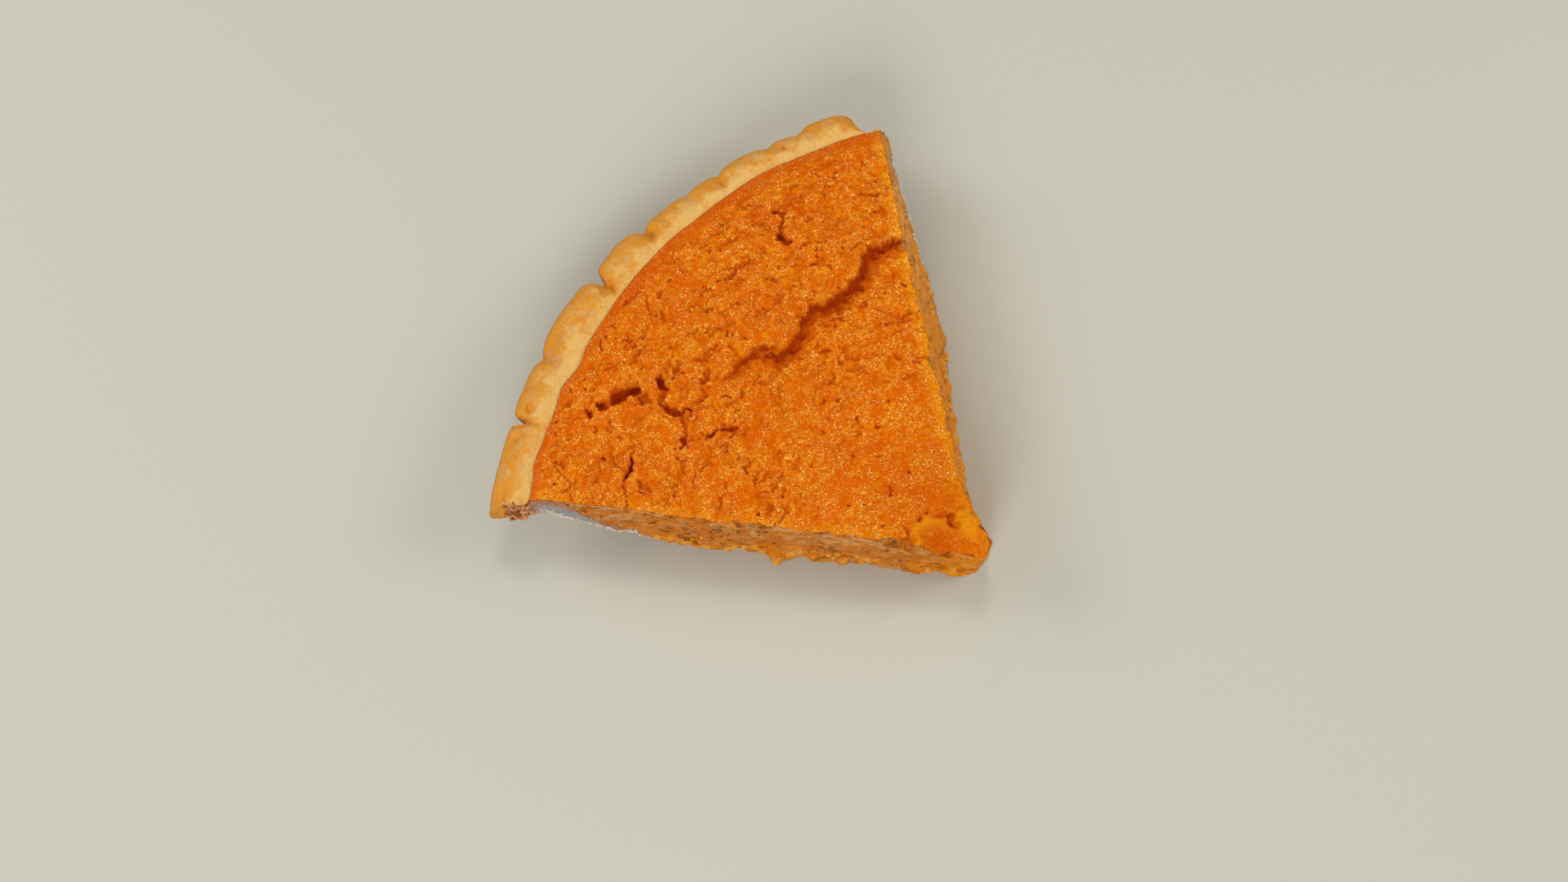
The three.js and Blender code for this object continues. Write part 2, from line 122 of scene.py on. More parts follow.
# Small dents that only the rim's look has: angle, radius, size and depth
SMALL_DENTS = [
    (16.5, 116.4, 1.3, 0.5), (13.5, 117.1, 1.2, 0.45), (26.6, 116.1, 1.4, 0.5), (26.0, 112.6, 0.9, 0.3),
    (28.2, 114.7, 1.5, 0.35), (30.3, 113.4, 1.4, 0.3), (24.4, 116.4, 1.0, 0.4), (22.9, 114.4, 0.8, 0.5),
    (18.9, 116.0, 1.4, 0.3), (11.2, 115.4, 1.3, 0.35), (9.4, 113.9, 1.5, 0.3), (7.0, 116.6, 1.2, 0.4),
    (5.5, 114.0, 1.1, 0.6), (2.4, 113.4, 1.4, 0.3), (-1.9, 116.2, 1.3, 0.3), (-4.1, 115.4, 1.2, 0.5),
    (-6.3, 116.5, 1.1, 0.5), (-8.6, 116.0, 1.3, 0.3), (-11.0, 114.6, 1.4, 0.3), (-13.6, 116.6, 1.2, 0.4),
    (-17.2, 115.6, 1.6, 0.3), (-20.2, 116.4, 1.3, 0.3), (-24.4, 116.4, 1.1, 0.5), (-29.0, 117.2, 1.4, 0.35),
    (-32.8, 115.6, 1.3, 0.5), (-31.0, 118.2, 1.2, 0.3),
]

# Creases and hairlines of the rim: depth, how far their walls slope, and the path with its widths
RIM_FOLDS = [
    (1.0, (0.5, 0.5), [(-8.6, 113.6, 0.9), (-9.2, 112.1, 0.5), (-10.0, 109.8, 0.2)]),
    (0.5, (0.25, 0.25), [(5.0, 114.3, 0.2), (5.0, 112.4, 0.25), (5.2, 110.6, 0.15)]),
    (0.4, (0.3, 0.3), [(0.3, 111.9, 0.4), (0.4, 110.9, 0.2)]),
    (0.9, (0.5, 0.5), [(47.8, 106.1, 0.8), (47.8, 105.0, 0.5), (48.6, 102.7, 0.2)]),
    (0.8, (0.4, 0.4), [(30.0, 111.2, 0.6), (29.8, 109.8, 0.4), (29.1, 108.3, 0.2)]),
    (0.8, (0.5, 0.5), [(54.8, 106.3, 0.9), (54.8, 104.7, 0.4)]),
    (1.0, (0.6, 0.6), [(-51.1, 107.5, 0.6), (-50.4, 105.9, 0.7), (-49.3, 104.4, 0.5), (-47.7, 103.3, 0.2)]),
    (0.9, (0.6, 0.4), [(-44.7, 107.8, 0.3), (-45.4, 106.7, 0.8), (-46.3, 105.5, 0.4)]),
    (0.7, (0.5, 0.5), [(-62.7, 97.9, 0.4), (-63.7, 96.4, 0.6), (-65.3, 93.8, 0.5)]),
    (0.5, (0.5, 0.5), [(-27.2, 112.6, 0.3), (-27.9, 111.2, 0.5), (-28.3, 110.0, 0.2)]),
    (0.6, (0.5, 0.5), [(-32.4, 113.9, 0.5), (-31.6, 112.3, 0.4), (-31.0, 111.3, 0.2)]),
    (0.3, (0.3, 0.3), [(-28.4, 108.7, 0.2), (-28.7, 107.6, 0.3)]),
    (0.4, (0.3, 0.3), [(-46.6, 102.7, 0.3), (-46.2, 101.5, 0.3)]),
]

# Cut faces. Each runs in its direction past the pie's centre, which it misses by its inset. Its foot
# stands out past its top edge by its slant, and by its belly more around one radius. The pastry's
# wall and the rim's end stand out of the face, or behind it where the pastry broke away. Feet are
# the large lumps that hang on it: radius, height, size and how far each stands out.
FRONT_CUT = {
    "side": 1, "direction": 35.5, "inset": 2.4, "slant": 2.3, "belly": 0, "wall_jut": 1.2,
    "rim_jut": 2.0, "rim_from": 107, "relief": 0.8, "lumps": 1.5, "fray": 1.5, "seed": 11,
    "feet": [
        (76.7, 3.4, 1.8, 0.9), (69.0, 3.0, 1.6, 1.1), (65.5, 2.4, 2.0, 1.4), (48.8, 2.6, 2.1, 1.8),
        (39.5, 2.2, 1.8, 1.2), (32.3, 2.4, 2.4, 1.7), (14.0, 2.4, 2.2, 1.3), (6.5, 3.6, 2.6, 1.7),
    ],
}
RIGHT_CUT = {
    "side": -1, "direction": 36.6, "inset": 0.2, "slant": 4.5, "belly": 2.6, "wall_jut": 1.0,
    "rim_jut": -2.6, "rim_from": 112.5, "relief": 0.9, "lumps": 0.9, "fray": 1.9, "seed": 23,
    "feet": [
        (95.9, 20.5, 1.4, 1.2), (86.6, 12.0, 2.0, 0.9), (57.7, 4.0, 2.2, 1.2), (48.3, 5.0, 2.6, 0.9),
        (39.2, 4.0, 2.4, 0.8),
    ],
}
BELLY_RADIUS = 70
BELLY_REACH = 34

# Where the filling's crags fade out and the pastry's wall begins on a cut face, and its further parts
CRAGS_FADE = (80, 90)
WALL_BEGINS = (84, 92)
RIM_END_RUN = 4
SLANT_RUN = 14
KNIFE_WANDER_LENGTH = 17
FOOT_LUMPS_HEIGHT = 4.5
EDGE_LIP = 0.2
UNDERCUT = 0.45
UNDERCUT_BELOW = 1.4
FLAKE_RELIEF = 0.9
POCKET_DEPTH = 1.2

# The broken tip: the line it broke along, its blunt end, how it sank, where its front edge sags
# (place, size, depth) and the raised lips along its break (height, width, path)
TIP_LINE = [(-10.5, 15.8), (-6.0, 15.0), (-3.0, 15.2), (1.4, 12.4), (3.8, 11.4), (6.4, 9.8), (11.5, 8.2)]
TIP_LENGTH = 20
TIP_HALF_WIDTH = 2.2
TIP_SHIFT = 2.9
TIP_DRAW = 3.3
TIP_BULGE = 2.2
TIP_DROP = 0.9
TIP_DROP_OVER = 1.5
TIP_TILT = 0.24
TIP_SAG = ((-3.2, 6.2), 4.8, 4.0)
TIP_LIPS = [
    (0.75, 1.4, [
        (-5.7, 13.2), (-5.2, 14.6), (-4.3, 15.2), (-2.6, 14.8), (-0.7, 14.2), (0.8, 12.4), (2.0, 10.8),
    ]),
    (0.7, 1.4, [(5.6, 10.2), (6.4, 8.4), (5.9, 6.8)]),
]

# The long crack that crosses the filling: its rim side stands higher than its tip side
LEDGE = [
    (47.8, 66.9), (42.6, 69.4), (36.1, 68.4), (31.9, 67.8), (27.3, 68.9), (20.8, 70.9), (17.8, 71.3),
    (12.8, 69.0), (6.4, 68.8), (3.8, 69.8), (2.4, 73.6), (-4.0, 75.0),
]
LEDGE_WIDTH = 2.6
LEDGE_RISE = 0.9
LEDGE_FALL = 0.8
LEDGE_REACH = 12

# Darker patches of painted shade on the broken tip, and a lighter one where the strength is below 0: place,
# size and strength
TIP_SHADE_PATCHES = [
    ((-2.2, 8.6), 3.0, 0.55), ((-3.6, 11.6), 1.6, 0.3), ((0.4, 3.6), 2.0, 0.5), ((-8.0, 15.2), 1.4, 0.8),
    ((2.4, 13.2), 1.8, 0.5), ((5.0, 5.6), 3.4, -0.9),
]

# Cracks and holes of the filling: depth, how far their walls slope right and left of the path, and
# the path with its widths. A wall that slopes further than GENTLE is a bank down to the path itself.
GENTLE = 2.0
OPENINGS = [
    # the ledge, from the right cut inward: sharp on its rim side, soft on its tip side
    (3.0, (0.25, 4.6), [
        (48.7, 66.8, 1.0), (47.2, 67.8, 1.1), (44.5, 68.9, 1.5), (41.7, 70, 2.2), (38.6, 69.9, 2.2),
        (36.4, 68.2, 2.1), (33.1, 67.6, 1.9), (29.3, 68.1, 1.8), (25.2, 68.6, 2.4), (22.5, 69.6, 2.2),
        (20, 71, 1.8), (16.6, 71.2, 1.1), (14.4, 69.9, 1.1), (12.6, 69.5, 1.4), (11, 68.6, 1.3),
        (8.1, 68.7, 1.9), (5.4, 69.6, 1.3), (4.3, 71.4, 0.8),
    ]),
    (2.6, (0.25, 3.4), [
        (5.3, 72.7, 0.8), (3.7, 73.8, 1.3), (1.7, 75, 1.8), (-0.4, 75.3, 1), (-4.7, 75.3, 0.6),
    ]),
    # the group of holes by the left rim
    (3.0, (0.3, 0.3), [
        (-29.5, 92.4, 3.3), (-28.3, 91.6, 3.4), (-26.7, 90.8, 2.7), (-25.1, 89.9, 2.8), (-24.3, 89.3, 2.6),
    ]),
    (2.3, (0.4, 0.4), [(-22.8, 86.9, 0.6), (-24.0, 86.9, 1.8), (-25.2, 86.5, 1.6), (-26.1, 86.2, 0.4)]),
    (2.8, (0.3, 0.3), [(-33.2, 94.0, 1.2), (-32.6, 93.0, 2.4)]),
    (2.3, (0.4, 0.4), [(-36.0, 95.2, 0.8), (-36.0, 94.2, 1.9), (-36.7, 93.0, 0.4)]),
    # the crooked crack right of them
    (2.8, (0.3, 0.3), [(-17.5, 87.8, 0.9), (-18.8, 86.8, 1.5), (-19.1, 85.3, 2.0), (-18.6, 84.5, 1.1)]),
    (1.8, (0.5, 0.5), [(-19.4, 84.5, 1.4), (-21.4, 83.4, 0.8), (-22.4, 82.3, 0.8), (-22.7, 81.2, 1.2)]),
    (2.6, (0.3, 0.3), [
        (-22.7, 81.2, 1.2), (-22.4, 79.9, 1.4), (-21.7, 78.4, 2.0), (-20.7, 77.4, 1.4), (-19.5, 76.7, 0.8),
        (-18.6, 75.5, 0.3),
    ]),
    (1.7, (0.6, 0.6), [(-21.0, 77.0, 0.8), (-22.4, 75.0, 0.9), (-24.0, 72.4, 0.8)]),
    (2.4, (0.3, 0.3), [(-24.0, 72.4, 0.8), (-25.5, 72.0, 1.1), (-26.9, 71.4, 0.4)]),
    (1.8, (0.5, 0.5), [(-8.3, 79.6, 0.6), (-10.7, 78.9, 1.6), (-11.9, 78.6, 0.8)]),
    (1.6, (0.5, 0.5), [(-12.6, 77.5, 0.4), (-14.2, 75.9, 1.1), (-15.6, 75.8, 0.8), (-17.2, 76.2, 0.4)]),
    (1.5, (0.5, 0.5), [(-12.0, 86.0, 0.6), (-14.0, 85.4, 1.3), (-15.6, 84.9, 0.4)]),
    (2.5, (0.3, 0.3), [(-21.7, 68.9, 0.6), (-20.5, 68.4, 1.0), (-18.9, 67.8, 0.8)]),
    (2.5, (0.3, 0.3), [(-17.9, 67.2, 0.6), (-16.6, 66.3, 1.1), (-15.2, 65.4, 1.2), (-14.4, 64.9, 0.7)]),
    # the crack that runs to the front cut
    (4.2, (0.3, 0.3), [
        (-37.1, 78.7, 0.5), (-38.2, 77.8, 1.0), (-39.4, 77.2, 0.6), (-41.2, 76.5, 1.1), (-42.4, 76.2, 0.8),
    ]),
    (1.7, (0.3, 0.3), [(-42.4, 76.2, 0.7), (-44.6, 74.6, 0.3), (-47.8, 71.0, 0.3)]),
    (1.0, (0.8, 0.8), [(-34.2, 80.4, 1.4), (-36.4, 79.2, 1.2)]),
    (1.1, (0.4, 0.4), [(-34.7, 84.1, 0.4), (-35.6, 83.7, 0.6)]),
    # the dip left of it with its hairline
    (0.6, (1.0, 1.0), [(-37.8, 68.6, 2.2), (-37.7, 67.8, 2.2)]),
    (1.4, (0.4, 0.4), [(-40.7, 72.9, 0.5), (-40.4, 71.3, 0.9), (-40.2, 69.4, 0.6)]),
    # the crack by the right end of the rim
    (1.1, (0.8, 0.8), [(39.6, 95.8, 1.2), (37.4, 95.0, 1.9), (34.6, 94.4, 1.4)]),
    (2.2, (0.4, 0.4), [
        (31.9, 96.0, 0.7), (33.0, 94.8, 1.0), (34.3, 94.1, 1.0), (32.6, 93.0, 0.8), (31.0, 91.8, 0.6),
    ]),
    (2.6, (0.5, 0.5), [(30.2, 91.4, 0.8), (29.5, 91.0, 1.2), (28.8, 89.6, 1.8), (28.9, 87.6, 1.2)]),
    # slots and grooves of the upper half
    (1.6, (0.5, 0.5), [(30.9, 78.1, 0.8), (29.4, 78.7, 1.4), (28.0, 79.2, 0.6)]),
    (0.8, (0.6, 0.6), [(33.5, 82.0, 0.9), (35.1, 80.5, 0.8)]),
    (1.5, (0.5, 0.5), [
        (19.1, 91.8, 1.0), (17.4, 91.7, 1.0), (15.9, 92.0, 0.9), (14.0, 91.8, 0.7), (9.8, 93.3, 0.5),
    ]),
    (1.2, (0.8, 0.8), [(17.7, 79.7, 1.6), (15.5, 79.3, 1.0)]),
    (1.2, (0.6, 0.6), [(13.2, 80.0, 0.6), (11.2, 80.3, 1.1), (9.6, 80.4, 0.8)]),
    (0.9, (0.6, 0.6), [(20.6, 77.9, 0.9), (19.5, 78.2, 0.6)]),
    (1.2, (0.5, 0.5), [(51.7, 75.1, 0.8), (49.3, 76.0, 0.8)]),
    (1.2, (0.4, 0.4), [(51.0, 82.5, 0.6), (52.1, 80.7, 0.7), (53.6, 79.2, 0.6)]),
    (1.3, (0.6, 0.6), [(-2.8, 82.8, 0.8), (-5.0, 82.8, 1.0), (-7.0, 82.9, 0.7)]),
    (1.2, (0.5, 0.5), [(-38.0, 99.2, 1.2), (-37.0, 99.3, 0.8)]),
    (1.4, (0.5, 0.5), [(-50.2, 90.0, 1.2), (-50.8, 91.0, 1.0)]),
    (0.9, (0.9, 0.9), [(41.4, 62.5, 1.4), (40.8, 61.8, 1.0)]),
    # the hole, streaks and pits along the broken tip
    (2.6, (0.6, 0.6), [(3.0, 10.0, 0.8), (3.6, 11.2, 1.9), (4.1, 12.0, 0.7)]),
    (0.9, (0.7, 0.7), [(1.3, 14.1, 0.4), (2.9, 12.8, 0.9), (5.7, 11.3, 0.5), (8.6, 10.6, 0.3)]),
    (1.1, (0.6, 0.6), [(2.9, 9.9, 1.3), (4.3, 8.4, 0.7)]),
    (1.6, (0.5, 0.5), [(-2.6, 16.2, 0.9), (-1.6, 16.6, 1.0)]),
    (1.7, (1.2, 1.2), [(-8.2, 15.6, 1.2), (-7.0, 15.3, 2.2), (-6.6, 14.0, 1.4)]),
]

# Fine relief as layers of noise: height in mm, size of its lumps across and along, and seed
SKIN_WAVES = [(0.45, 19, 19, 31), (0.3, 7, 7, 32)]
DRAWN_CURDS = [(0.3, 5.1, 2.3, 33), (0.24, 2.8, 1.2, 40)]
ROUND_CURDS = [(0.2, 3.0, 3.0, 34), (0.13, 1.5, 1.5, 35)]
CRACK_FRAY = [(0.45, 2.3, 2.3, 61), (0.58, 0.9, 0.9, 62)]
RIM_FRAY = [(0.22, 1.6, 1.6, 71), (0.1, 0.7, 0.7, 72)]
RIM_UNEVEN = [(0.12, 2.4, 2.4, 75), (0.07, 1.1, 1.1, 76)]
CUT_CRAGS = [(1.0, 6.5, 2.6, 0), (0.6, 3.1, 2.1, 1)]
CUT_STREAKS = [(0.32, 6.0, 1.4, 5), (0.28, 2.4, 1.3, 6)]
CUT_CRUMB = [(0.18, 1.1, 1.0, 8)]
CUT_EDGE_FRAY = [(0.3, 3.4, 1, 11), (0.32, 1.5, 1, 9), (0.24, 0.7, 1, 10)]

# Skin: how it rolls down beside the rim, where its curds are strongest by radius and by distance from
# the rim, and the fine creases that follow the rim's run
ROLL_DEPTH = 1.1
ROLL_WIDTH = 2.4
CURDS_RISE = (25, 60)
CURDS_FROM_RIM = (0.8, 3.8)
FINE_CREASE_DEPTH = 0.55
FINE_CREASE_WIDTH = 0.13
FINE_CREASES_RISE = (26, 56)
FINE_CREASES_FROM_RIM = (1.5, 3.5)
LEAST_RUN_RADIUS = 30

# Small pits and short creases of the skin: how far they spread, and the ranges of their sizes
PITS_WITHIN = 108
PITS_ANGLES = (-35, 34)
PITS_CROWD = (40, 75)
PITS_PATCH_SIZE = 14
PITS_TURN = 0.45
CREASE_SHARE = 0.45
CREASE_LENGTH = (1.2, 3.6)
CREASE_WIDTH = (0.3, 0.5)
CREASE_DEPTH = (0.3, 0.9)
PIT_LENGTH = 0.45
PIT_WIDTH = (0.27, 0.1)
PIT_DEPTH = (0.5, 1.2)

# Meshes: shares across the tip, and spacing in mm of the rows of sheets that are seen less
TIP_COUNT = 20
HIDDEN_COUNT = 16
RIM_ROW_COUNT = 29
FLOOR_SPACING = 0.6
WALL_FROM_RADIUS = 74
WALL_SPACING = 0.9
EDGE_SPACING = 0.8
RIM_UNDERSIDE_SPACING = 0.7
LEAST_COUNT = 8

# Where bits lie on the cut faces, each as a radius or height where they start and are at their most
CURDS_BELOW = (8.5, 3.5)
CURDS_WITHIN = (92, 82)
CRUMBS_ABOVE_FOOT = (2.6, 1.0)
CRUMBS_FROM = (74, 77)
CRUMBS_WITHIN = (109, 106)
FLAKES_PAST_EDGE = (-0.5, 1.0)
FLAKES_WITHIN = (116.5, 115.0)

# Groups of the materials: how sharp a speck's edge is, how far grains are pulled out of round in
# metres, and where the gap between two grains starts and is at its deepest
SPECK_SHARPNESS = 14.0
GRAIN_PULL = 0.0004
GRAIN_GAP = (0.32, 0.6)

# Sizes of scattered bits that their Geometry Nodes take, in metres, shares and radians
BITS_SIZES = {
    "Density": 100000.0, "Size": 0.0006, "Smallest": 0.4, "Width": 0.8, "Flatness": 0.7,
    "Tilt": 3.1, "Bury": 0.3, "Lumpiness": 0.0005, "Lump Size": 0.0005,
}

# Stage, in metres: the floor, the room's colour, the camera and the lamps. A lamp has its place up and
# right in the picture and above the floor, its size, the setting with its power, its share and colour.
FLOOR_HALF = 3.0
ROOM_COLOUR = (0.88, 0.94, 1.0)
PICTURE_UP = Vector((0.738, 0.675, 0))
CAMERA_AT = (-0.0749, -0.0805, 0.4455)
CAMERA_AIM = (-0.0043, -0.0011, 0)
CAMERA_VIEW_ANGLE = 48
SENSOR_WIDTH = 36
LAMPS = {
    "Key_Lamp": ((0.44, 0, 1.04), 0.22, "key_power", 1.0, (1.0, 0.96, 0.88)),
    "Left_Lamp": ((0.35, -0.85, 0.7), 0.5, "side_power", 1.0, (0.94, 0.97, 1.0)),
    "Right_Lamp": ((0.2, 0.9, 0.7), 0.5, "side_power", 1.0, (1.0, 0.97, 0.92)),
    "Front_Lamp": ((-0.85, -0.2, 0.7), 0.6, "side_power", 1.7, (0.92, 0.96, 1.0)),
}

# What a point of a body knows: its place on the slice, and the marks that its material reads
SPOT = ("share", "radius", "height", "sunk", "cut", "below", "edge", "rimward")


# Forms

def ease(t):
    """A smooth step from 0 to 1."""
    share = np.clip(t, 0, 1)
    return share * share * (3 - 2 * share)


def rising(value, start, end):
    """0 where a value is at start, 1 where it is at end, smooth between them."""
    return ease((value - start) / (end - start))


def hump(distance, size):
    """1 at no distance, falling to about a third at the size given."""
    return np.exp(-((distance / size) ** 2))


def lattice(i, j, seed):
    """Seeded random numbers in 0..1 at whole-numbered places."""
    word = 0xFFFFFFFF
    h = (i * 374761393 & word) ^ (j * 668265263 & word) ^ (seed * 1274126177 & word)
    h = (h ^ (h >> 13)) * 1103515245 & word
    return (h ^ (h >> 16)) / 2**32


def noise(x, y, seed):
    """Smooth noise in -1..1 with lumps about one unit across."""
    x, y = np.broadcast_arrays(np.asarray(x, float), np.asarray(y, float))
    i, j = np.floor(x).astype(np.int64), np.floor(y).astype(np.int64)
    u, v = ease(x - i), ease(y - j)
    low = lattice(i, j, seed) * (1 - u) + lattice(i + 1, j, seed) * u
    high = lattice(i, j + 1, seed) * (1 - u) + lattice(i + 1, j + 1, seed) * u
    return 2 * (low * (1 - v) + high * v) - 1


def noises(layers, x, y, seed=0):
    """Layers of noise one over the other, with a seed added to those that they have."""
    return sum(height * noise(x / across, y / along, seed + own) for height, across, along, own in layers)


def frayed(layers, x, y):
    """Points shifted a little, so that what is cut out along a path gets torn edges."""
    return x + noises(layers, x, y), y + noises(layers, x, y, seed=2)


def along(points, x):
    """Heights along a list of (position, height) points, straight between them."""
    positions, heights = np.array(points, float).T
    return np.interp(x, positions, heights)


def smooth_along(points, x):
    """Heights on a smooth curve through a list of (position, height) points."""
    px, py = np.array(points, float).T
    slope = np.gradient(py, px)
    i = np.clip(np.searchsorted(px, x) - 1, 0, len(px) - 2)
    step = px[i + 1] - px[i]
    t = np.clip((x - px[i]) / step, 0, 1)
    from_start = (2 * t**3 - 3 * t**2 + 1) * py[i] + (t**3 - 2 * t**2 + t) * step * slope[i]
    from_end = (3 * t**2 - 2 * t**3) * py[i + 1] + (t**3 - t**2) * step * slope[i + 1]
    return from_start + from_end


def nearest(path, x, y):
    """Distance from points to a path, the side they lie on (+1 left of its run) and the share of it."""
    distance = np.full(x.shape, np.inf)
    side = np.ones(x.shape)
    share = np.zeros(x.shape)
    for i in range(1, len(path)):
        (ax, ay), (bx, by) = path[i - 1], path[i]
        dx, dy = bx - ax, by - ay
        t = np.clip(((x - ax) * dx + (y - ay) * dy) / (dx * dx + dy * dy), 0, 1)
        here = np.hypot(x - ax - t * dx, y - ay - t * dy)
        closer = here < distance
        turned = np.where(dx * (y - ay) - dy * (x - ax) < 0, -1.0, 1.0)
        distance = np.where(closer, here, distance)
        side = np.where(closer, turned, side)
        share = np.where(closer, (i - 1 + t) / (len(path) - 1), share)
    return distance, side, share


def filling_edge(angle):
    """Radius of the edge between filling and rim: it wanders, and runs out towards the right cut."""
    radius = FILLING_RADIUS - EDGE_INSET + EDGE_WANDER * noise(angle / 4.5, 0, 5)
    radius += EDGE_RUN_OUT * np.clip((EDGE_RUN_OUT_FROM - angle) / EDGE_RUN_OUT_OVER, 0, 1) ** 1.3
    return radius + sum(height * hump(angle - at, width) for at, width, height in EDGE_BUMPS)


def rim_edge(angle):
    """Radius of the rim's outer edge: bulging lobes with a notch between each two."""
    radius = np.full(np.shape(angle), float(RIM_RADIUS))
    start = SLICE_ANGLE / 2
    for end, bulge, notch, notch_width in RIM_LOBES:
        inside = (angle <= start) & (angle > end)
        swell = np.sin(np.pi * np.clip((start - angle) / (start - end), 0, 1)) ** LOBE_ROUNDNESS
        radius += np.where(inside, bulge * swell, 0)
        radius -= notch * hump(angle - end, notch_width)
        start = end
    broken_from, broken_over, broken_depth = BROKEN_END
    broken = broken_depth * ease((-angle - broken_from) / broken_over)
    return radius - broken + RIM_WANDER * noise(angle / 1.7, 3, 7)


def rim_sink(angle, radius):
    """How much lower the rim lies at an angle and radius than its even section."""
    sink = np.zeros(np.shape(angle))
    for end, _, notch, notch_width in RIM_LOBES:
        sink += NOTCH_SINK * notch**0.6 * hump(angle - end, 1.4 * notch_width)
    for dent_angle, dent_radius, size, depth in RIM_DENTS + SMALL_DENTS:
        across = (angle - dent_angle) * DEGREE * radius
        sink += depth * hump(np.hypot(across, radius - dent_radius), size)
    return sink - RIM_WAVES * noise(angle / 3.2, radius / 4, 9)


def rim_grain(angle, radius):
    """How much lower folds, hairlines and the dough's small unevenness make the rim."""
    x, y = -radius * np.sin(angle * DEGREE), radius * np.cos(angle * DEGREE)
    u, v = frayed(RIM_FRAY, x, y)
    folds = np.zeros(x.shape)
    for depth, slopes, path in RIM_FOLDS:
        folds = np.maximum(folds, trench(path, depth, slopes, u, v))
    return folds + noises(RIM_UNEVEN, x, y)


def cut_offset(cut, radius, height):
    """How far a cut face stands out: its slant, crags, knife streaks and the lumps at its foot."""
    seed = cut["seed"]
    down = 1 - height / FILLING_LEVEL
    crags = noises(CUT_CRAGS, radius, height, seed)
    wander = noise(radius / KNIFE_WANDER_LENGTH, 0.5, seed + 2)
    lumps = np.maximum(0, noise(radius / 5.2, height / 6, seed + 3)) * hump(height, FOOT_LUMPS_HEIGHT)
    in_filling = 1 - 0.7 * rising(radius, *CRAGS_FADE)
    in_rim = rising(radius, cut["rim_from"], cut["rim_from"] + RIM_END_RUN)
    in_wall = rising(radius, *WALL_BEGINS) * ease(3 * down)
    flakes = in_rim * ease(down * 4) * (0.8 + noise(radius / 1.9, height / 1.7, seed + 4))
    belly = cut["belly"] * hump(radius - BELLY_RADIUS, BELLY_REACH)
    slant = (cut["slant"] + belly) * (0.3 + 0.7 * rising(radius, ROOT_RADIUS, ROOT_RADIUS + SLANT_RUN))
    rough = cut["relief"] * (0.55 * crags + 0.5 * wander * ease(3 * down)) + cut["lumps"] * lumps
    for at, level, size, out in cut["feet"]:
        rough = rough + out * hump(np.hypot(radius - at, 1.3 * (height - level)), size)
    below = FILLING_LEVEL - height
    torn = noises(CUT_EDGE_FRAY, radius, 0.5, seed)
    overhang = (EDGE_LIP + cut["fray"] * torn) * hump(below, 1.0)
    overhang = overhang - UNDERCUT * hump(below - UNDERCUT_BELOW, 0.6)
    shape = slant * down + in_filling * (rough + overhang)
    shape = shape + cut["wall_jut"] * in_wall + cut["rim_jut"] * in_rim
    return shape + FLAKE_RELIEF * flakes + ease(8 * down) * cut_grain(seed, radius, height)


def foot_lumps(share, radius, height):
    """How much a place on a cut face belongs to one of the lumps at its foot, from 0 to 1."""
    lumps = np.zeros(np.shape(radius))
    for cut in (FRONT_CUT, RIGHT_CUT):
        for at, level, size, _ in cut["feet"]:
            lump = hump(np.hypot(radius - at, 1.3 * (height - level)), size)
            lumps = np.maximum(lumps, np.where(share * cut["side"] > 0, lump, 0))
    return lumps


def cut_grain(seed, radius, height):
    """Knife streaks, small air pockets and crumb of a cut face, in mm."""
    pockets = rising(noise(radius / 2.6, height / 1.2, seed + 7), 0.3, 0.65)
    return noises(CUT_STREAKS + CUT_CRUMB, radius, height, seed) - POCKET_DEPTH * pockets


def angle_at(share, radius):
    """Angle of a place in degrees: a share of the way to the cut on its side."""
    direction = np.where(share > 0, FRONT_CUT["direction"], RIGHT_CUT["direction"])
    inset = np.where(share > 0, FRONT_CUT["inset"], RIGHT_CUT["inset"])
    return share * (direction - np.arcsin(inset / radius) / DEGREE)


def place(share, radius, height):
    """Puts places on the slice into space, in mm from the pie's centre."""
    front = share > 0
    angle = angle_at(share, radius) * DEGREE
    edge_only = 2 + 4 * ease((radius - ROOT_RADIUS) / 18)
    offset = np.where(front, cut_offset(FRONT_CUT, radius, height), cut_offset(RIGHT_CUT, radius, height))
    outward = np.abs(share) ** edge_only * offset
    near_tip = ease(1 - radius / TIP_LENGTH)
    x = -radius * np.sin(angle) + near_tip * (TIP_SHIFT - TIP_HALF_WIDTH * share)
    y = radius * np.cos(angle) - near_tip * (TIP_DRAW + TIP_BULGE * (1 - share * share))
    direction = np.where(front, FRONT_CUT["direction"], RIGHT_CUT["direction"]) * DEGREE
    normal_x = np.where(front, -1, 1) * np.cos(direction)
    return x + outward * normal_x, y - outward * np.sin(direction), height


def stretched(nominal, share):
    """True radius for a nominal one: beyond the wall's foot it stretches to the wandering edge."""
    beyond = np.clip((nominal - WALL_FOOT_RADIUS) / (FILLING_RADIUS - WALL_FOOT_RADIUS), 0, 1)
    return nominal + beyond * (filling_edge(angle_at(share, nominal)) - FILLING_RADIUS)


def around(x, y):
    """For points: radius, distance inside the filling's edge, and place along the rim's run."""
    radius = np.hypot(x, y)
    inside = filling_edge(np.arctan2(-x, y) / DEGREE) - radius
    return radius, inside, np.arctan2(x, y) * np.maximum(radius, LEAST_RUN_RADIUS)


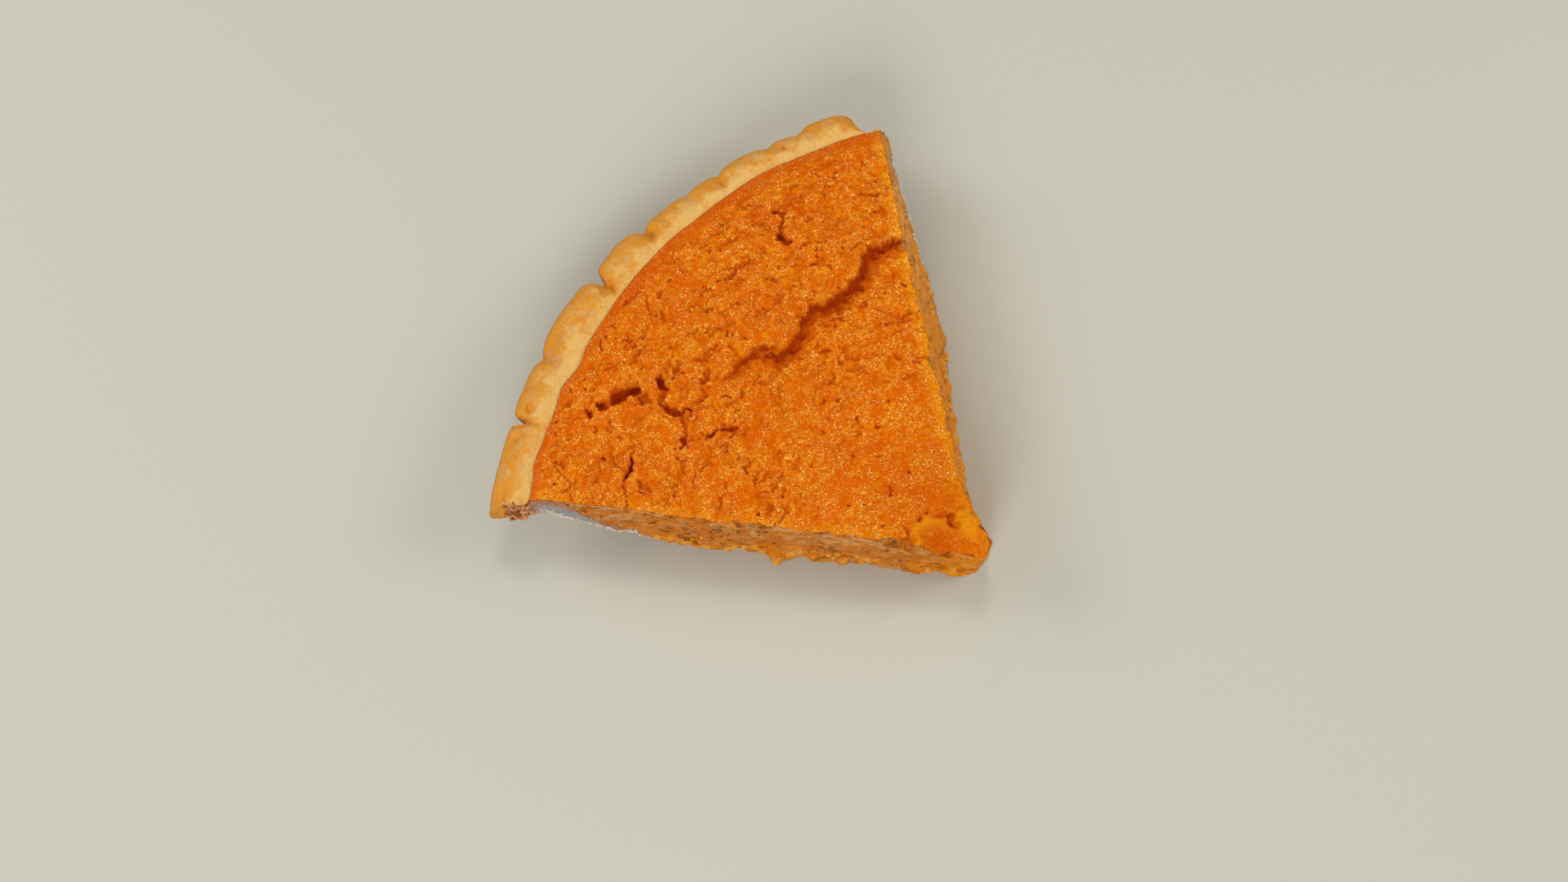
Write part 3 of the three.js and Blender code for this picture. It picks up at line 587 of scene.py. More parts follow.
def skin_level(x, y):
    """Height of the filling's top before it cracked open, seen from the pie's centre."""
    radius, inside, _ = around(x, y)
    distance, side, share = nearest(LEDGE, x, y)
    ends = ease(share * 8) * ease((1 - share) * 4)
    step = np.exp(-distance / LEDGE_REACH) * ends
    lift = np.where(side < 0, LEDGE_RISE * step, -LEDGE_FALL * ease(distance / LEDGE_WIDTH) * step)
    tip_distance, tip_side, _ = nearest(TIP_LINE, x, y)
    beyond = np.where((tip_side < 0) & (radius < TIP_LENGTH), tip_distance, 0)
    sunk = np.where(beyond > 0, TIP_DROP * ease(beyond / TIP_DROP_OVER) + TIP_TILT * beyond, 0)
    (sag_x, sag_y), sag_size, sag_depth = TIP_SAG
    sunk = sunk + sag_depth * hump(np.hypot(x - sag_x, y - sag_y), sag_size)
    for rise, width, path in TIP_LIPS:
        sunk = sunk - rise * hump(nearest(path, x, y)[0], width)
    waves = noises(SKIN_WAVES, x, y)
    return FILLING_LEVEL + waves - ROLL_DEPTH * hump(np.maximum(0, inside), ROLL_WIDTH) + lift - sunk


def tip_tone(x, y):
    """Colour of the broken tip: above 0 in its patches of painted shade, below 0 on its amber lips and its
    lighter patch.
    """
    tone = np.zeros(x.shape)
    for (at_x, at_y), size, strength in TIP_SHADE_PATCHES:
        tone += strength * hump(np.hypot(x - at_x, y - at_y), size)
    for _, width, path in TIP_LIPS:
        tone -= 1.1 * hump(nearest(path, x, y)[0], 1.3 * width)
    return tone


def curd(x, y):
    """The skin's curdled relief in mm: lumps drawn out along the rim's run, finer ones between."""
    radius, inside, run = around(x, y)
    drawn = noises(DRAWN_CURDS, run, radius) * rising(radius, *CURDS_RISE)
    return (drawn + noises(ROUND_CURDS, x, y)) * (0.3 + 0.7 * rising(inside, *CURDS_FROM_RIM))


def creases(x, y):
    """Depth of the skin's fine creases in mm: short broken lines that follow the rim's run."""
    radius, inside, run = around(x, y)
    run = run + 0.8 * noise(x / 2.1, y / 2.1, 36)
    outward = radius + 0.7 * noise(x / 1.7, y / 1.7, 37)
    line = FINE_CREASE_DEPTH * hump(noise(run / 5.2, outward / 1.9, 38), FINE_CREASE_WIDTH)
    broken = rising(noise(x / 3.4, y / 3.4, 39), -0.1, 0.15)
    return line * broken * rising(radius, *FINE_CREASES_RISE) * rising(inside, *FINE_CREASES_FROM_RIM)


def trench(points, depth, slopes, x, y):
    """Depth of an open crack over points. Its path has widths; its walls slope right and left of it."""
    gap_to = np.full(x.shape, np.inf)
    line_gap = gap_to.copy()
    slope = np.full(x.shape, float(slopes[0]))
    for (ax, ay, start), (bx, by, end) in zip(points, points[1:]):
        dx, dy = bx - ax, by - ay
        t = np.clip(((x - ax) * dx + (y - ay) * dy) / (dx * dx + dy * dy), 0, 1)
        from_line = np.hypot(x - ax - t * dx, y - ay - t * dy)
        here = from_line - (start + t * (end - start)) / 2
        on_left = dx * (y - ay) - dy * (x - ax) > 0
        slope = np.where(here < gap_to, np.where(on_left, slopes[1], slopes[0]), slope)
        line_gap = np.where(here < gap_to, from_line, line_gap)
        gap_to = np.minimum(gap_to, here)
    floor = 0.85 + 0.15 * noise(x / 0.9, y / 0.9, 42)
    sag = 0.8 + 0.2 * np.clip(-gap_to / 1.2, 0, 1)
    bank = ease(1 - line_gap / slope * (1 + 0.25 * noise(x / 1.3, y / 1.3, 43)))
    return depth * np.where(slope > GENTLE, bank, ease(0.5 - gap_to / slope)) * floor * sag


def scattered(count, seed):
    """Places of small pits and creases: x, y, heading, length, width and depth of each, in mm."""
    random = np.random.default_rng(seed)
    made = []
    while len(made) < count:
        radius = PITS_WITHIN * math.sqrt(random.uniform(0.01, 1))
        angle = random.uniform(*PITS_ANGLES)
        x, y = -radius * math.sin(angle * DEGREE), radius * math.cos(angle * DEGREE)
        patch = 0.6 + 0.4 * float(noise(x / PITS_PATCH_SIZE, y / PITS_PATCH_SIZE, seed))
        crowd = 0.2 + 0.8 * float(rising(radius, *PITS_CROWD)) * patch
        if random.uniform() > crowd:
            continue
        heading = angle * DEGREE + random.normal(0, PITS_TURN)
        crease = random.uniform() < CREASE_SHARE
        length = random.uniform(*CREASE_LENGTH) if crease else random.exponential(PIT_LENGTH)
        width = random.uniform(*CREASE_WIDTH) if crease else PIT_WIDTH[0] + random.exponential(PIT_WIDTH[1])
        depth = random.uniform(*CREASE_DEPTH) if crease else random.uniform(*PIT_DEPTH)
        made.append((x, y, heading, length, width, depth))
    return made


def opened(x, y, pit_count, pit_seed):
    """How deep cracks, holes and pits lie below the skin over points, in mm."""
    u, v = frayed(CRACK_FRAY, x, y)
    deep = np.zeros(x.shape)
    for depth, slopes, path in OPENINGS:
        path_x, path_y, widths = np.array(path).T
        reach = widths.max() / 2 + max(slopes) + 1
        close = np.flatnonzero(
            (x > path_x.min() - reach) & (x < path_x.max() + reach)
            & (y > path_y.min() - reach) & (y < path_y.max() + reach)
        )
        deep[close] = np.maximum(deep[close], trench(path, depth, slopes, u[close], v[close]))
    for pit_x, pit_y, heading, length, width, depth in scattered(pit_count, pit_seed):
        reach = length / 2 + width + 0.8
        close = np.flatnonzero((np.abs(x - pit_x) < reach) & (np.abs(y - pit_y) < reach))
        if not len(close):
            continue
        dx, dy = u[close] - pit_x, v[close] - pit_y
        run = np.abs(dx * math.cos(heading) + dy * math.sin(heading))
        aside = dy * math.cos(heading) - dx * math.sin(heading)
        away = np.hypot(np.maximum(0, run - length / 2), aside)
        deep[close] = np.maximum(deep[close], depth * ease((1.2 - away / width) / 0.7))
    return np.maximum(deep, creases(x, y))


# Bodies

def zip_rows(near, far):
    """Triangles of the strip between two rows of point numbers of any lengths."""
    m, n = len(near) - 1, len(far) - 1
    when = np.concatenate([np.arange(1, m + 1) / m, np.arange(1, n + 1) / n])
    is_near = np.argsort(when, kind="stable") < m
    i = np.cumsum(is_near) - is_near
    j = np.cumsum(~is_near) - ~is_near
    third = np.where(is_near, near[np.minimum(i + 1, m)], far[np.minimum(j + 1, n)])
    return np.stack([near[i], third, far[j]], axis=1)


class SliceBody:
    """A closed body between an upper and a lower sheet of rows. Row 0 runs across the tip."""

    def __init__(self, face_spacing):
        self.face_spacing = face_spacing
        self.spots = []
        self.count = 0
        self.triangles = []

    def add(self, spots):
        self.spots.append(spots)
        self.count += len(spots)
        return np.arange(self.count - len(spots), self.count)

    def sheet(self, nominals, shares, spot_at):
        """Adds one row for each nominal radius and returns the rows' point numbers."""
        lengths = [len(row) for row in shares]
        made = spot_at(np.repeat(nominals, lengths), np.concatenate(shares))
        return np.split(self.add(made), np.cumsum(lengths)[:-1])

    def column(self, spots, upper, lower):
        """Point numbers from an upper edge point down to the lower one, down the cut face."""
        top, bottom = spots[upper], spots[lower]
        steps = max(1, round(abs(top[2] - bottom[2]) / self.face_spacing))
        if steps == 1:
            return np.array([upper, lower])
        t = (np.arange(1, steps) / steps)[:, None]
        inner = top + t * (bottom - top)
        inner[:, SPOT.index("cut")] = 1
        inner[:, SPOT.index("below")] = top[2] - inner[:, 2]
        inner[:, SPOT.index("sunk")] = -foot_lumps(*inner[:, :3].T)
        return np.concatenate([[upper], self.add(inner), [lower]])

    def close(self, upper_rows, lower_rows):
        for i in range(len(upper_rows) - 1):
            self.triangles.append(zip_rows(upper_rows[i], upper_rows[i + 1]))
            self.triangles.append(zip_rows(lower_rows[i + 1], lower_rows[i]))
        spots = np.concatenate(self.spots)
        pairs = [(up[0], low[0]) for up, low in zip(upper_rows[:0:-1], lower_rows[:0:-1])]
        pairs += list(zip(upper_rows[0], lower_rows[0]))
        pairs += [(up[-1], low[-1]) for up, low in zip(upper_rows[1:], lower_rows[1:])]
        columns = [self.column(spots, upper, lower) for upper, lower in pairs]
        for before, after in zip(columns, columns[1:]):
            self.triangles.append(zip_rows(before, after))
        self.triangles.append(zip_rows(upper_rows[-1], lower_rows[-1]))

    def make(self, name):
        """The body as a Blender object, with its marks as point attributes."""
        spots = np.concatenate(self.spots)
        x, y, z = place(spots[:, 0], spots[:, 1], spots[:, 2])
        points = np.stack([x + PIE_CENTRE[0], y + PIE_CENTRE[1], z], axis=1) * MM
        mesh = bpy.data.meshes.new(name)
        mesh.from_pydata(points.tolist(), [], np.concatenate(self.triangles).tolist())
        for column, mark in enumerate(SPOT):
            attribute = mesh.attributes.new(mark, "FLOAT", "POINT")
            attribute.data.foreach_set("value", spots[:, column].astype(np.float32))
        mesh.shade_smooth()
        piece = bpy.data.objects.new(name, mesh)
        bpy.context.scene.collection.objects.link(piece)
        return piece


def spots_of(share, radius, height, **marks):
    """Rows of SPOT values; marks that aren't given are 0."""
    made = np.zeros((len(share), len(SPOT)))
    for name, values in dict(share=share, radius=radius, height=height, **marks).items():
        made[:, SPOT.index(name)] = values
    return made


def even_shares(nominals, spacing, least_count):
    """Evenly spaced shares for each row, as many as the spacing asks for."""
    counts = [max(least_count, math.ceil(r * SLICE_ANGLE * DEGREE / spacing)) for r in nominals]
    return [np.linspace(1, -1, count + 1) for count in counts]


def hidden_shares(nominals):
    """Shares for rows under the filling: close together by the cuts and by the edge, wide apart else."""
    t = np.linspace(1, -1, HIDDEN_COUNT + 1)
    inward = 1 - np.abs(t)
    row = np.sign(t) * (1 - (0.15 * inward + 0.85 * inward**2.5))
    even = even_shares(nominals, EDGE_SPACING, LEAST_COUNT)
    rows = [row if nominal < EDGE_ROWS_FROM else close for nominal, close in zip(nominals, even)]
    return [np.linspace(1, -1, TIP_COUNT + 1)] + rows[1:]


def row_radii(spacing):
    """Nominal radii of the rows from the tip to the filling's edge."""
    ends = (ROOT_RADIUS, WALL_FOOT_RADIUS, FILLING_RADIUS)
    inner, outer = (np.linspace(a, b, round((b - a) / spacing)) for a, b in zip(ends, ends[1:]))
    return np.concatenate([inner[:-1], outer])


def build_filling(look):
    """The filling between its cracked skin and the pastry."""
    spacing = look.top_spacing / MM
    body = SliceBody(look.face_spacing / MM)
    radii = row_radii(spacing)

    def upper(nominal, share):
        radius = stretched(nominal, share)
        x, y, _ = place(share, radius, np.full_like(share, FILLING_LEVEL))
        angle = np.arctan2(-x, y) / DEGREE
        deep = look.crack_depth * opened(x, y, look.pit_count, look.seed)
        height = skin_level(x, y) + look.curd_height * curd(x, y) * np.exp(-deep) - deep
        height = np.maximum(height, along(PASTRY_TOP, nominal) + THIN_EDGE)
        edge = (1 - np.abs(share)) * SLICE_ANGLE / 2 * DEGREE * radius
        rimward = filling_edge(angle) - radius
        # the sunk mark also carries the tip's painted shade, besides the depth of cracks and pits
        return spots_of(share, radius, height, sunk=deep + tip_tone(x, y), edge=edge, rimward=rimward)

    def lower(nominal, share):
        radius = stretched(nominal, share)
        height = along(PASTRY_TOP, nominal) + CONTACT_GAP
        return spots_of(share, radius, height, cut=1, below=FILLING_LEVEL - height)

    upper_rows = body.sheet(radii, even_shares(radii, spacing, TIP_COUNT), upper)
    lower_rows = body.sheet(radii, hidden_shares(radii), lower)
    body.close(upper_rows, lower_rows)
    return body.make("Pie_Filling")


def across_rim(nominal, share):
    """For places of the crust: whether they are on the rim, share of its width, angle and radius."""
    on_rim = nominal >= RIM_RADIUS
    width = np.clip(nominal - RIM_RADIUS, 0, 1)
    angle = angle_at(share, RIM_RADIUS)
    inner = filling_edge(angle)
    rim_radius = inner + width * (rim_edge(angle) - inner)
    return on_rim, width, angle, rim_radius, np.where(on_rim, rim_radius, stretched(nominal, share))


def build_crust(look):
    """The pastry shell: thin base, sloping wall and finger-pressed rim."""
    body = SliceBody(look.face_spacing / MM)
    floor_radii = row_radii(FLOOR_SPACING)
    rim_widths = 1 - (1 - np.linspace(0, 1, RIM_ROW_COUNT + 1)[1:]) ** 1.35
    rim_nominals = RIM_RADIUS + rim_widths

    def upper(nominal, share):
        on_rim, width, angle, rim_radius, radius = across_rim(nominal, share)
        sink = (rim_sink(angle, rim_radius) + rim_grain(angle, rim_radius)) * np.minimum(1, 3 * width)
        height = np.where(on_rim, smooth_along(RIM_TOP, width) - sink, along(PASTRY_TOP, nominal))
        rimward = np.where(on_rim, width, 0)
        return spots_of(share, radius, height, rimward=rimward, sunk=sink * on_rim, cut=~on_rim)

    def lower(nominal, share):
        on_rim, width, _, _, radius = across_rim(nominal, share)
        height = np.where(on_rim, smooth_along(RIM_UNDERSIDE, width), along(PASTRY_UNDERSIDE, nominal))
        return spots_of(share, radius, height, rimward=1, below=FILLING_LEVEL - height)

    nominals = np.concatenate([floor_radii, rim_nominals])
    hidden = hidden_shares(floor_radii)
    upper_shares = hidden + even_shares(rim_nominals, look.top_spacing / MM, LEAST_COUNT)
    wall = zip(floor_radii >= WALL_FROM_RADIUS, even_shares(floor_radii, WALL_SPACING, LEAST_COUNT), hidden)
    lower_shares = [even if on_wall else wide for on_wall, even, wide in wall]
    lower_shares += even_shares(rim_nominals, RIM_UNDERSIDE_SPACING, LEAST_COUNT)
    upper_rows = body.sheet(nominals, upper_shares, upper)
    lower_rows = body.sheet(nominals, lower_shares, lower)
    body.close(upper_rows, lower_rows)
    return body.make("Pie_Crust")


# Nodes

class Wiring:
    """A node tree, with short names for the nodes that are put into it."""

    def __init__(self, tree):
        self.tree = tree

    def set(self, socket, value):
        """Links a socket to another, or gives it a plain value or colour."""
        if isinstance(value, bpy.types.NodeSocket):
            self.tree.links.new(value, socket)
        elif socket.type == "RGBA":
            socket.default_value = (*value, 1)
        else:
            socket.default_value = value

    def node(self, kind, inputs=(), **settings):
        made = self.tree.nodes.new(kind)
        for name, value in settings.items():
            setattr(made, name, value)
        for name, value in dict(inputs).items():
            self.set(made.inputs[name], value)
        return made

    def math(self, operation, first, second, clamp=False):
        inputs = {0: first, 1: second}
        return self.node("ShaderNodeMath", inputs, operation=operation, use_clamp=clamp).outputs[0]

    def plus(self, first, second, clamp=False):
        return self.math("ADD", first, second, clamp)

    def minus(self, first, second):
        return self.math("SUBTRACT", first, second)

    def larger(self, first, second):
        return self.math("MAXIMUM", first, second)

    def times(self, product, *factors):
        for factor in factors:
            product = self.math("MULTIPLY", product, factor)
        return product

    def between(self, value, low, high):
        """0 where a value is at low, 1 where it is at high."""
        inputs = {"Value": value, "From Min": low, "From Max": high}
        if low > high:
            inputs.update({"From Min": high, "From Max": low, "To Min": 1.0, "To Max": 0.0})
        return self.node("ShaderNodeMapRange", inputs, interpolation_type="SMOOTHSTEP").outputs["Result"]

    def vector(self, x, y, z=0.0):
        return self.node("ShaderNodeCombineXYZ", {"X": x, "Y": y, "Z": z}).outputs[0]

    def scaled(self, vector, scale):
        return self.node("ShaderNodeVectorMath", {0: vector, "Scale": scale}, operation="SCALE").outputs[0]

    def texture(self, at, scale, detail=1.0, output="Fac", **more):
        inputs = {"Vector": at, "Scale": scale, "Detail": detail, **more}
        return self.node("ShaderNodeTexNoise", inputs).outputs[output]

    def mark(self, name):
        return self.node("ShaderNodeAttribute", attribute_name=name).outputs["Fac"]

    def blend(self, share, first, second):
        return self.node("ShaderNodeMix", {0: share, 6: first, 7: second}, data_type="RGBA").outputs[2]

    def layered(self, base, *layers):
        """A base colour with others laid over it, each as strongly as the product of its factors."""
        for colour, *factors in layers:
            base = self.blend(self.times(*factors), base, colour)
        return base

    def shared(self, name, output, **inputs):
        """An output of one of the groups that the materials share."""
        group = bpy.data.node_groups.get(name) or SHARED_GROUPS[name]()
        return self.node("ShaderNodeGroup", inputs, node_tree=group).outputs[output]

    def mottle(self, at, size, low, high, detail=3.0):
        return self.shared("Mottle", "Mask", Vector=at, Size=size, Detail=detail, Low=low, High=high)

    def specks(self, at, spacing, size, share):
        return self.shared("Specks", "Mask", Vector=at, Spacing=spacing, Size=size, Share=share)

    def grains(self, at, size, roundness, output="Height"):
        return self.shared("Curd", output, Vector=at, Size=size, Roundness=roundness)

    def finish(self, shader, colour, roughness, height, relief):
        """Puts a pattern's colour, roughness and height, whose unit is relief in metres, on a shader."""
        bump = self.node("ShaderNodeBump", {"Height": height, "Strength": 1.0, "Distance": relief})
        self.set(shader["Base Color"], colour)
        self.set(shader["Roughness"], roughness)
        self.set(shader["Normal"], bump.outputs["Normal"])


# Bits

def bits_tree():
    """Geometry Nodes that spread lumpy bits over a body, as densely as its mark called bits says."""
    tree = bpy.data.node_groups.new("Bits", "GeometryNodeTree")
    tree.is_modifier = True
    new_socket = tree.interface.new_socket
    new_socket(name="Body", in_out="INPUT", socket_type="NodeSocketGeometry")
    for name, value in BITS_SIZES.items():
        new_socket(name=name, in_out="INPUT", socket_type="NodeSocketFloat").default_value = value
    new_socket(name="Seed", in_out="INPUT", socket_type="NodeSocketInt")
    new_socket(name="Material", in_out="INPUT", socket_type="NodeSocketMaterial")
    new_socket(name="Bits", in_out="OUTPUT", socket_type="NodeSocketGeometry")
    w = Wiring(tree)
    given, result = w.node("NodeGroupInput").outputs, w.node("NodeGroupOutput").inputs
    seed, tilt = given["Seed"], given["Tilt"]

    # places, as densely as the mark says, and sunk a little into the face
    weight = w.node("GeometryNodeInputNamedAttribute", {"Name": "bits"}, data_type="FLOAT")
    density = w.times(weight.outputs["Attribute"], given["Density"])
    spread = w.node("GeometryNodeDistributePointsOnFaces", {
        "Mesh": given["Body"], "Density": density, "Seed": seed,
    }).outputs
    chance = w.node("FunctionNodeRandomValue", {"Seed": seed}, data_type="FLOAT").outputs[1]
    grown = w.times(chance, chance, w.minus(1.0, given["Smallest"]))
    size = w.times(given["Size"], w.plus(given["Smallest"], grown))
    sunk = w.scaled(spread["Normal"], w.times(size, given["Bury"], -1.0))
    points = w.node("GeometryNodeSetPosition", {"Geometry": spread["Points"], "Offset": sunk})

    # a ball at each, turned and stretched
    least = w.times(tilt, -1.0)
    turns = w.node("FunctionNodeRandomValue", {
        0: w.vector(least, least), 1: w.vector(tilt, tilt, 2 * math.pi), "Seed": seed,
    }, data_type="FLOAT_VECTOR").outputs[0]
    turn = w.node("FunctionNodeEulerToRotation", {"Euler": turns}).outputs[0]
    turned = w.node("FunctionNodeRotateRotation", {
        "Rotation": spread["Rotation"], "Rotate By": turn,
    }, rotation_space="LOCAL").outputs[0]
    stretch = w.scaled(w.vector(1.0, given["Width"], given["Flatness"]), size)
    ball = w.node("GeometryNodeMeshIcoSphere", {"Radius": 1.0, "Subdivisions": 2}).outputs["Mesh"]
    bits = w.node("GeometryNodeInstanceOnPoints", {
        "Points": points.outputs[0], "Instance": ball, "Rotation": turned, "Scale": stretch,
    })
    real = w.node("GeometryNodeRealizeInstances", {"Geometry": bits.outputs[0]})

    # lumps, and nothing below the floor
    here = w.node("GeometryNodeInputPosition").outputs[0]
    normal = w.node("GeometryNodeInputNormal").outputs[0]
    lumps = w.texture(here, w.math("DIVIDE", 1.0, given["Lump Size"]))
    push = w.scaled(normal, w.times(w.minus(lumps, 0.5), given["Lumpiness"]))
    lumpy = w.node("GeometryNodeSetPosition", {"Geometry": real.outputs[0], "Offset": push})
    split = w.node("ShaderNodeSeparateXYZ", {0: here}).outputs
    lifted = w.vector(split["X"], split["Y"], w.larger(split["Z"], CONTACT_GAP * MM))
    clear = w.node("GeometryNodeSetPosition", {"Geometry": lumpy.outputs[0], "Position": lifted})
    smooth = w.node("GeometryNodeSetShadeSmooth", {"Geometry": clear.outputs[0]})
    done = w.node("GeometryNodeSetMaterial", {
        "Geometry": smooth.outputs[0], "Material": given["Material"],
    })
    w.set(result["Bits"], done.outputs[0])
    return tree


def marks_of(body):
    """A body's marks, one array each, and where it is a cut face."""
    marks = {name: np.empty(len(body.data.vertices), np.float32) for name in SPOT}
    for name, values in marks.items():
        body.data.attributes[name].data.foreach_get("value", values)
    on_face = (marks["cut"] > 0.5) & ((np.abs(marks["share"]) > 0.999) | (marks["radius"] <= ROOT_RADIUS))
    return marks, on_face


def build_bits(name, body, weight, material, seed, sizes):
    """Bits spread over a body by its weights, as a plain mesh of their own."""
    piece = bpy.data.objects.new(name, body.data.copy())
    bpy.context.scene.collection.objects.link(piece)
    piece.data.attributes.new("bits", "FLOAT", "POINT").data.foreach_set("value", weight.astype(np.float32))
    tree = bpy.data.node_groups.get("Bits") or bits_tree()
    modifier = piece.modifiers.new("Bits", "NODES")
    modifier.node_group = tree
    values = {"Seed": seed, "Material": material, **sizes}
    for socket in tree.interface.items_tree:
        if socket.in_out == "INPUT" and socket.name in values:
            modifier[socket.identifier] = values[socket.name]
    evaluated = piece.evaluated_get(bpy.context.evaluated_depsgraph_get())
    made = bpy.data.meshes.new_from_object(evaluated)
    piece.modifiers.remove(modifier)
    spread_over, piece.data = piece.data, made
    bpy.data.meshes.remove(spread_over)
    for mark_name in (*SPOT, "bits"):
        left = made.attributes.get(mark_name)
        if left:
            made.attributes.remove(left)
    made.materials.clear()
    made.materials.append(material)
    made.polygons.foreach_set("material_index", np.zeros(len(made.polygons), np.int32))
    made.name = name
    return piece


# Materials

# Marks and the ranges that they are read between are in mm, the sizes of patterns in metres.

def paint(red, green, blue):
    """Linear colour for a colour given in 0..255 as a screen shows it."""
    shown = (red / 255, green / 255, blue / 255)
    return tuple(c / 12.92 if c < 0.0405 else ((c + 0.055) / 1.055) ** 2.4 for c in shown)


def new_group(name, inputs, outputs):
    """An empty shader node group: its wiring, and its own inputs and outputs by name."""
    group = bpy.data.node_groups.new(name, "ShaderNodeTree")
    new_socket = group.interface.new_socket
    new_socket(name="Vector", in_out="INPUT", socket_type="NodeSocketVector")
    for socket, value in inputs.items():
        new_socket(name=socket, in_out="INPUT", socket_type="NodeSocketFloat").default_value = value
    for socket in outputs:
        new_socket(name=socket, in_out="OUTPUT", socket_type="NodeSocketFloat")
    w = Wiring(group)
    return w, w.node("NodeGroupInput").outputs, w.node("NodeGroupOutput").inputs


def mottle_group():
    """Soft patches: a mask from 0 to 1 whose patches have a given size in metres."""
    w, given, result = new_group("Mottle", {"Size": 0.01, "Detail": 2.0, "Low": 0.4, "High": 0.6}, ["Mask"])
    scale = w.math("DIVIDE", 1.0, given["Size"])
    patches = w.texture(given["Vector"], scale, given["Detail"], Roughness=0.55)
    spread = w.node("ShaderNodeMapRange", {
        "Value": patches, "From Min": given["Low"], "From Max": given["High"],
    }, interpolation_type="SMOOTHSTEP")
    w.set(result["Mask"], spread.outputs["Result"])
    return w.tree


def specks_group():
    """Separate round specks of a given size, spread at a given spacing in metres."""
    w, given, result = new_group("Specks", {"Spacing": 0.004, "Size": 0.2, "Share": 0.5}, ["Mask"])
    scale = w.math("DIVIDE", 1.0, given["Spacing"])
    cells = w.node("ShaderNodeTexVoronoi", {"Vector": given["Vector"], "Scale": scale}).outputs
    split = w.node("ShaderNodeSeparateColor", {"Color": cells["Color"]}).outputs
    kept = w.math("LESS_THAN", split["Red"], given["Share"])
    inside = w.minus(w.times(given["Size"], split["Green"]), cells["Distance"])
    soft = w.math("MULTIPLY", inside, SPECK_SHARPNESS, clamp=True)
    w.set(result["Mask"], w.times(soft, kept))
    return w.tree


def curd_group():
    """Packed wet grains of a given size in metres: their height, and the gaps between them."""
    w, given, result = new_group("Curd", {"Size": 0.001, "Roundness": 1.0}, ["Height", "Gap"])
    at, scale = given["Vector"], w.math("DIVIDE", 1.0, given["Size"])
    pull = w.scaled(w.texture(at, scale, output="Color"), GRAIN_PULL)
    pulled = w.node("ShaderNodeVectorMath", {0: at, 1: pull}, operation="ADD").outputs[0]
    cells = w.node("ShaderNodeTexVoronoi", {
        "Vector": pulled, "Scale": scale, "Smoothness": 0.35,
    }, feature="SMOOTH_F1").outputs
    dome = w.minus(1.0, w.times(cells["Distance"], cells["Distance"], 2.0))
    fine = w.texture(at, w.times(scale, 1.4))
    w.set(result["Height"], w.plus(w.times(dome, given["Roundness"]), fine))
    w.set(result["Gap"], w.between(cells["Distance"], *GRAIN_GAP))
    return w.tree


SHARED_GROUPS = {"Mottle": mottle_group, "Specks": specks_group, "Curd": curd_group}


def new_material(name):
    """A material, its wiring, its shader's inputs and the place on the piece that patterns read."""
    material = bpy.data.materials.new(name)
    material.use_nodes = True
    w = Wiring(material.node_tree)
    shader = material.node_tree.nodes["Principled BSDF"].inputs
    return material, w, shader, w.node("ShaderNodeTexCoord").outputs["Object"]


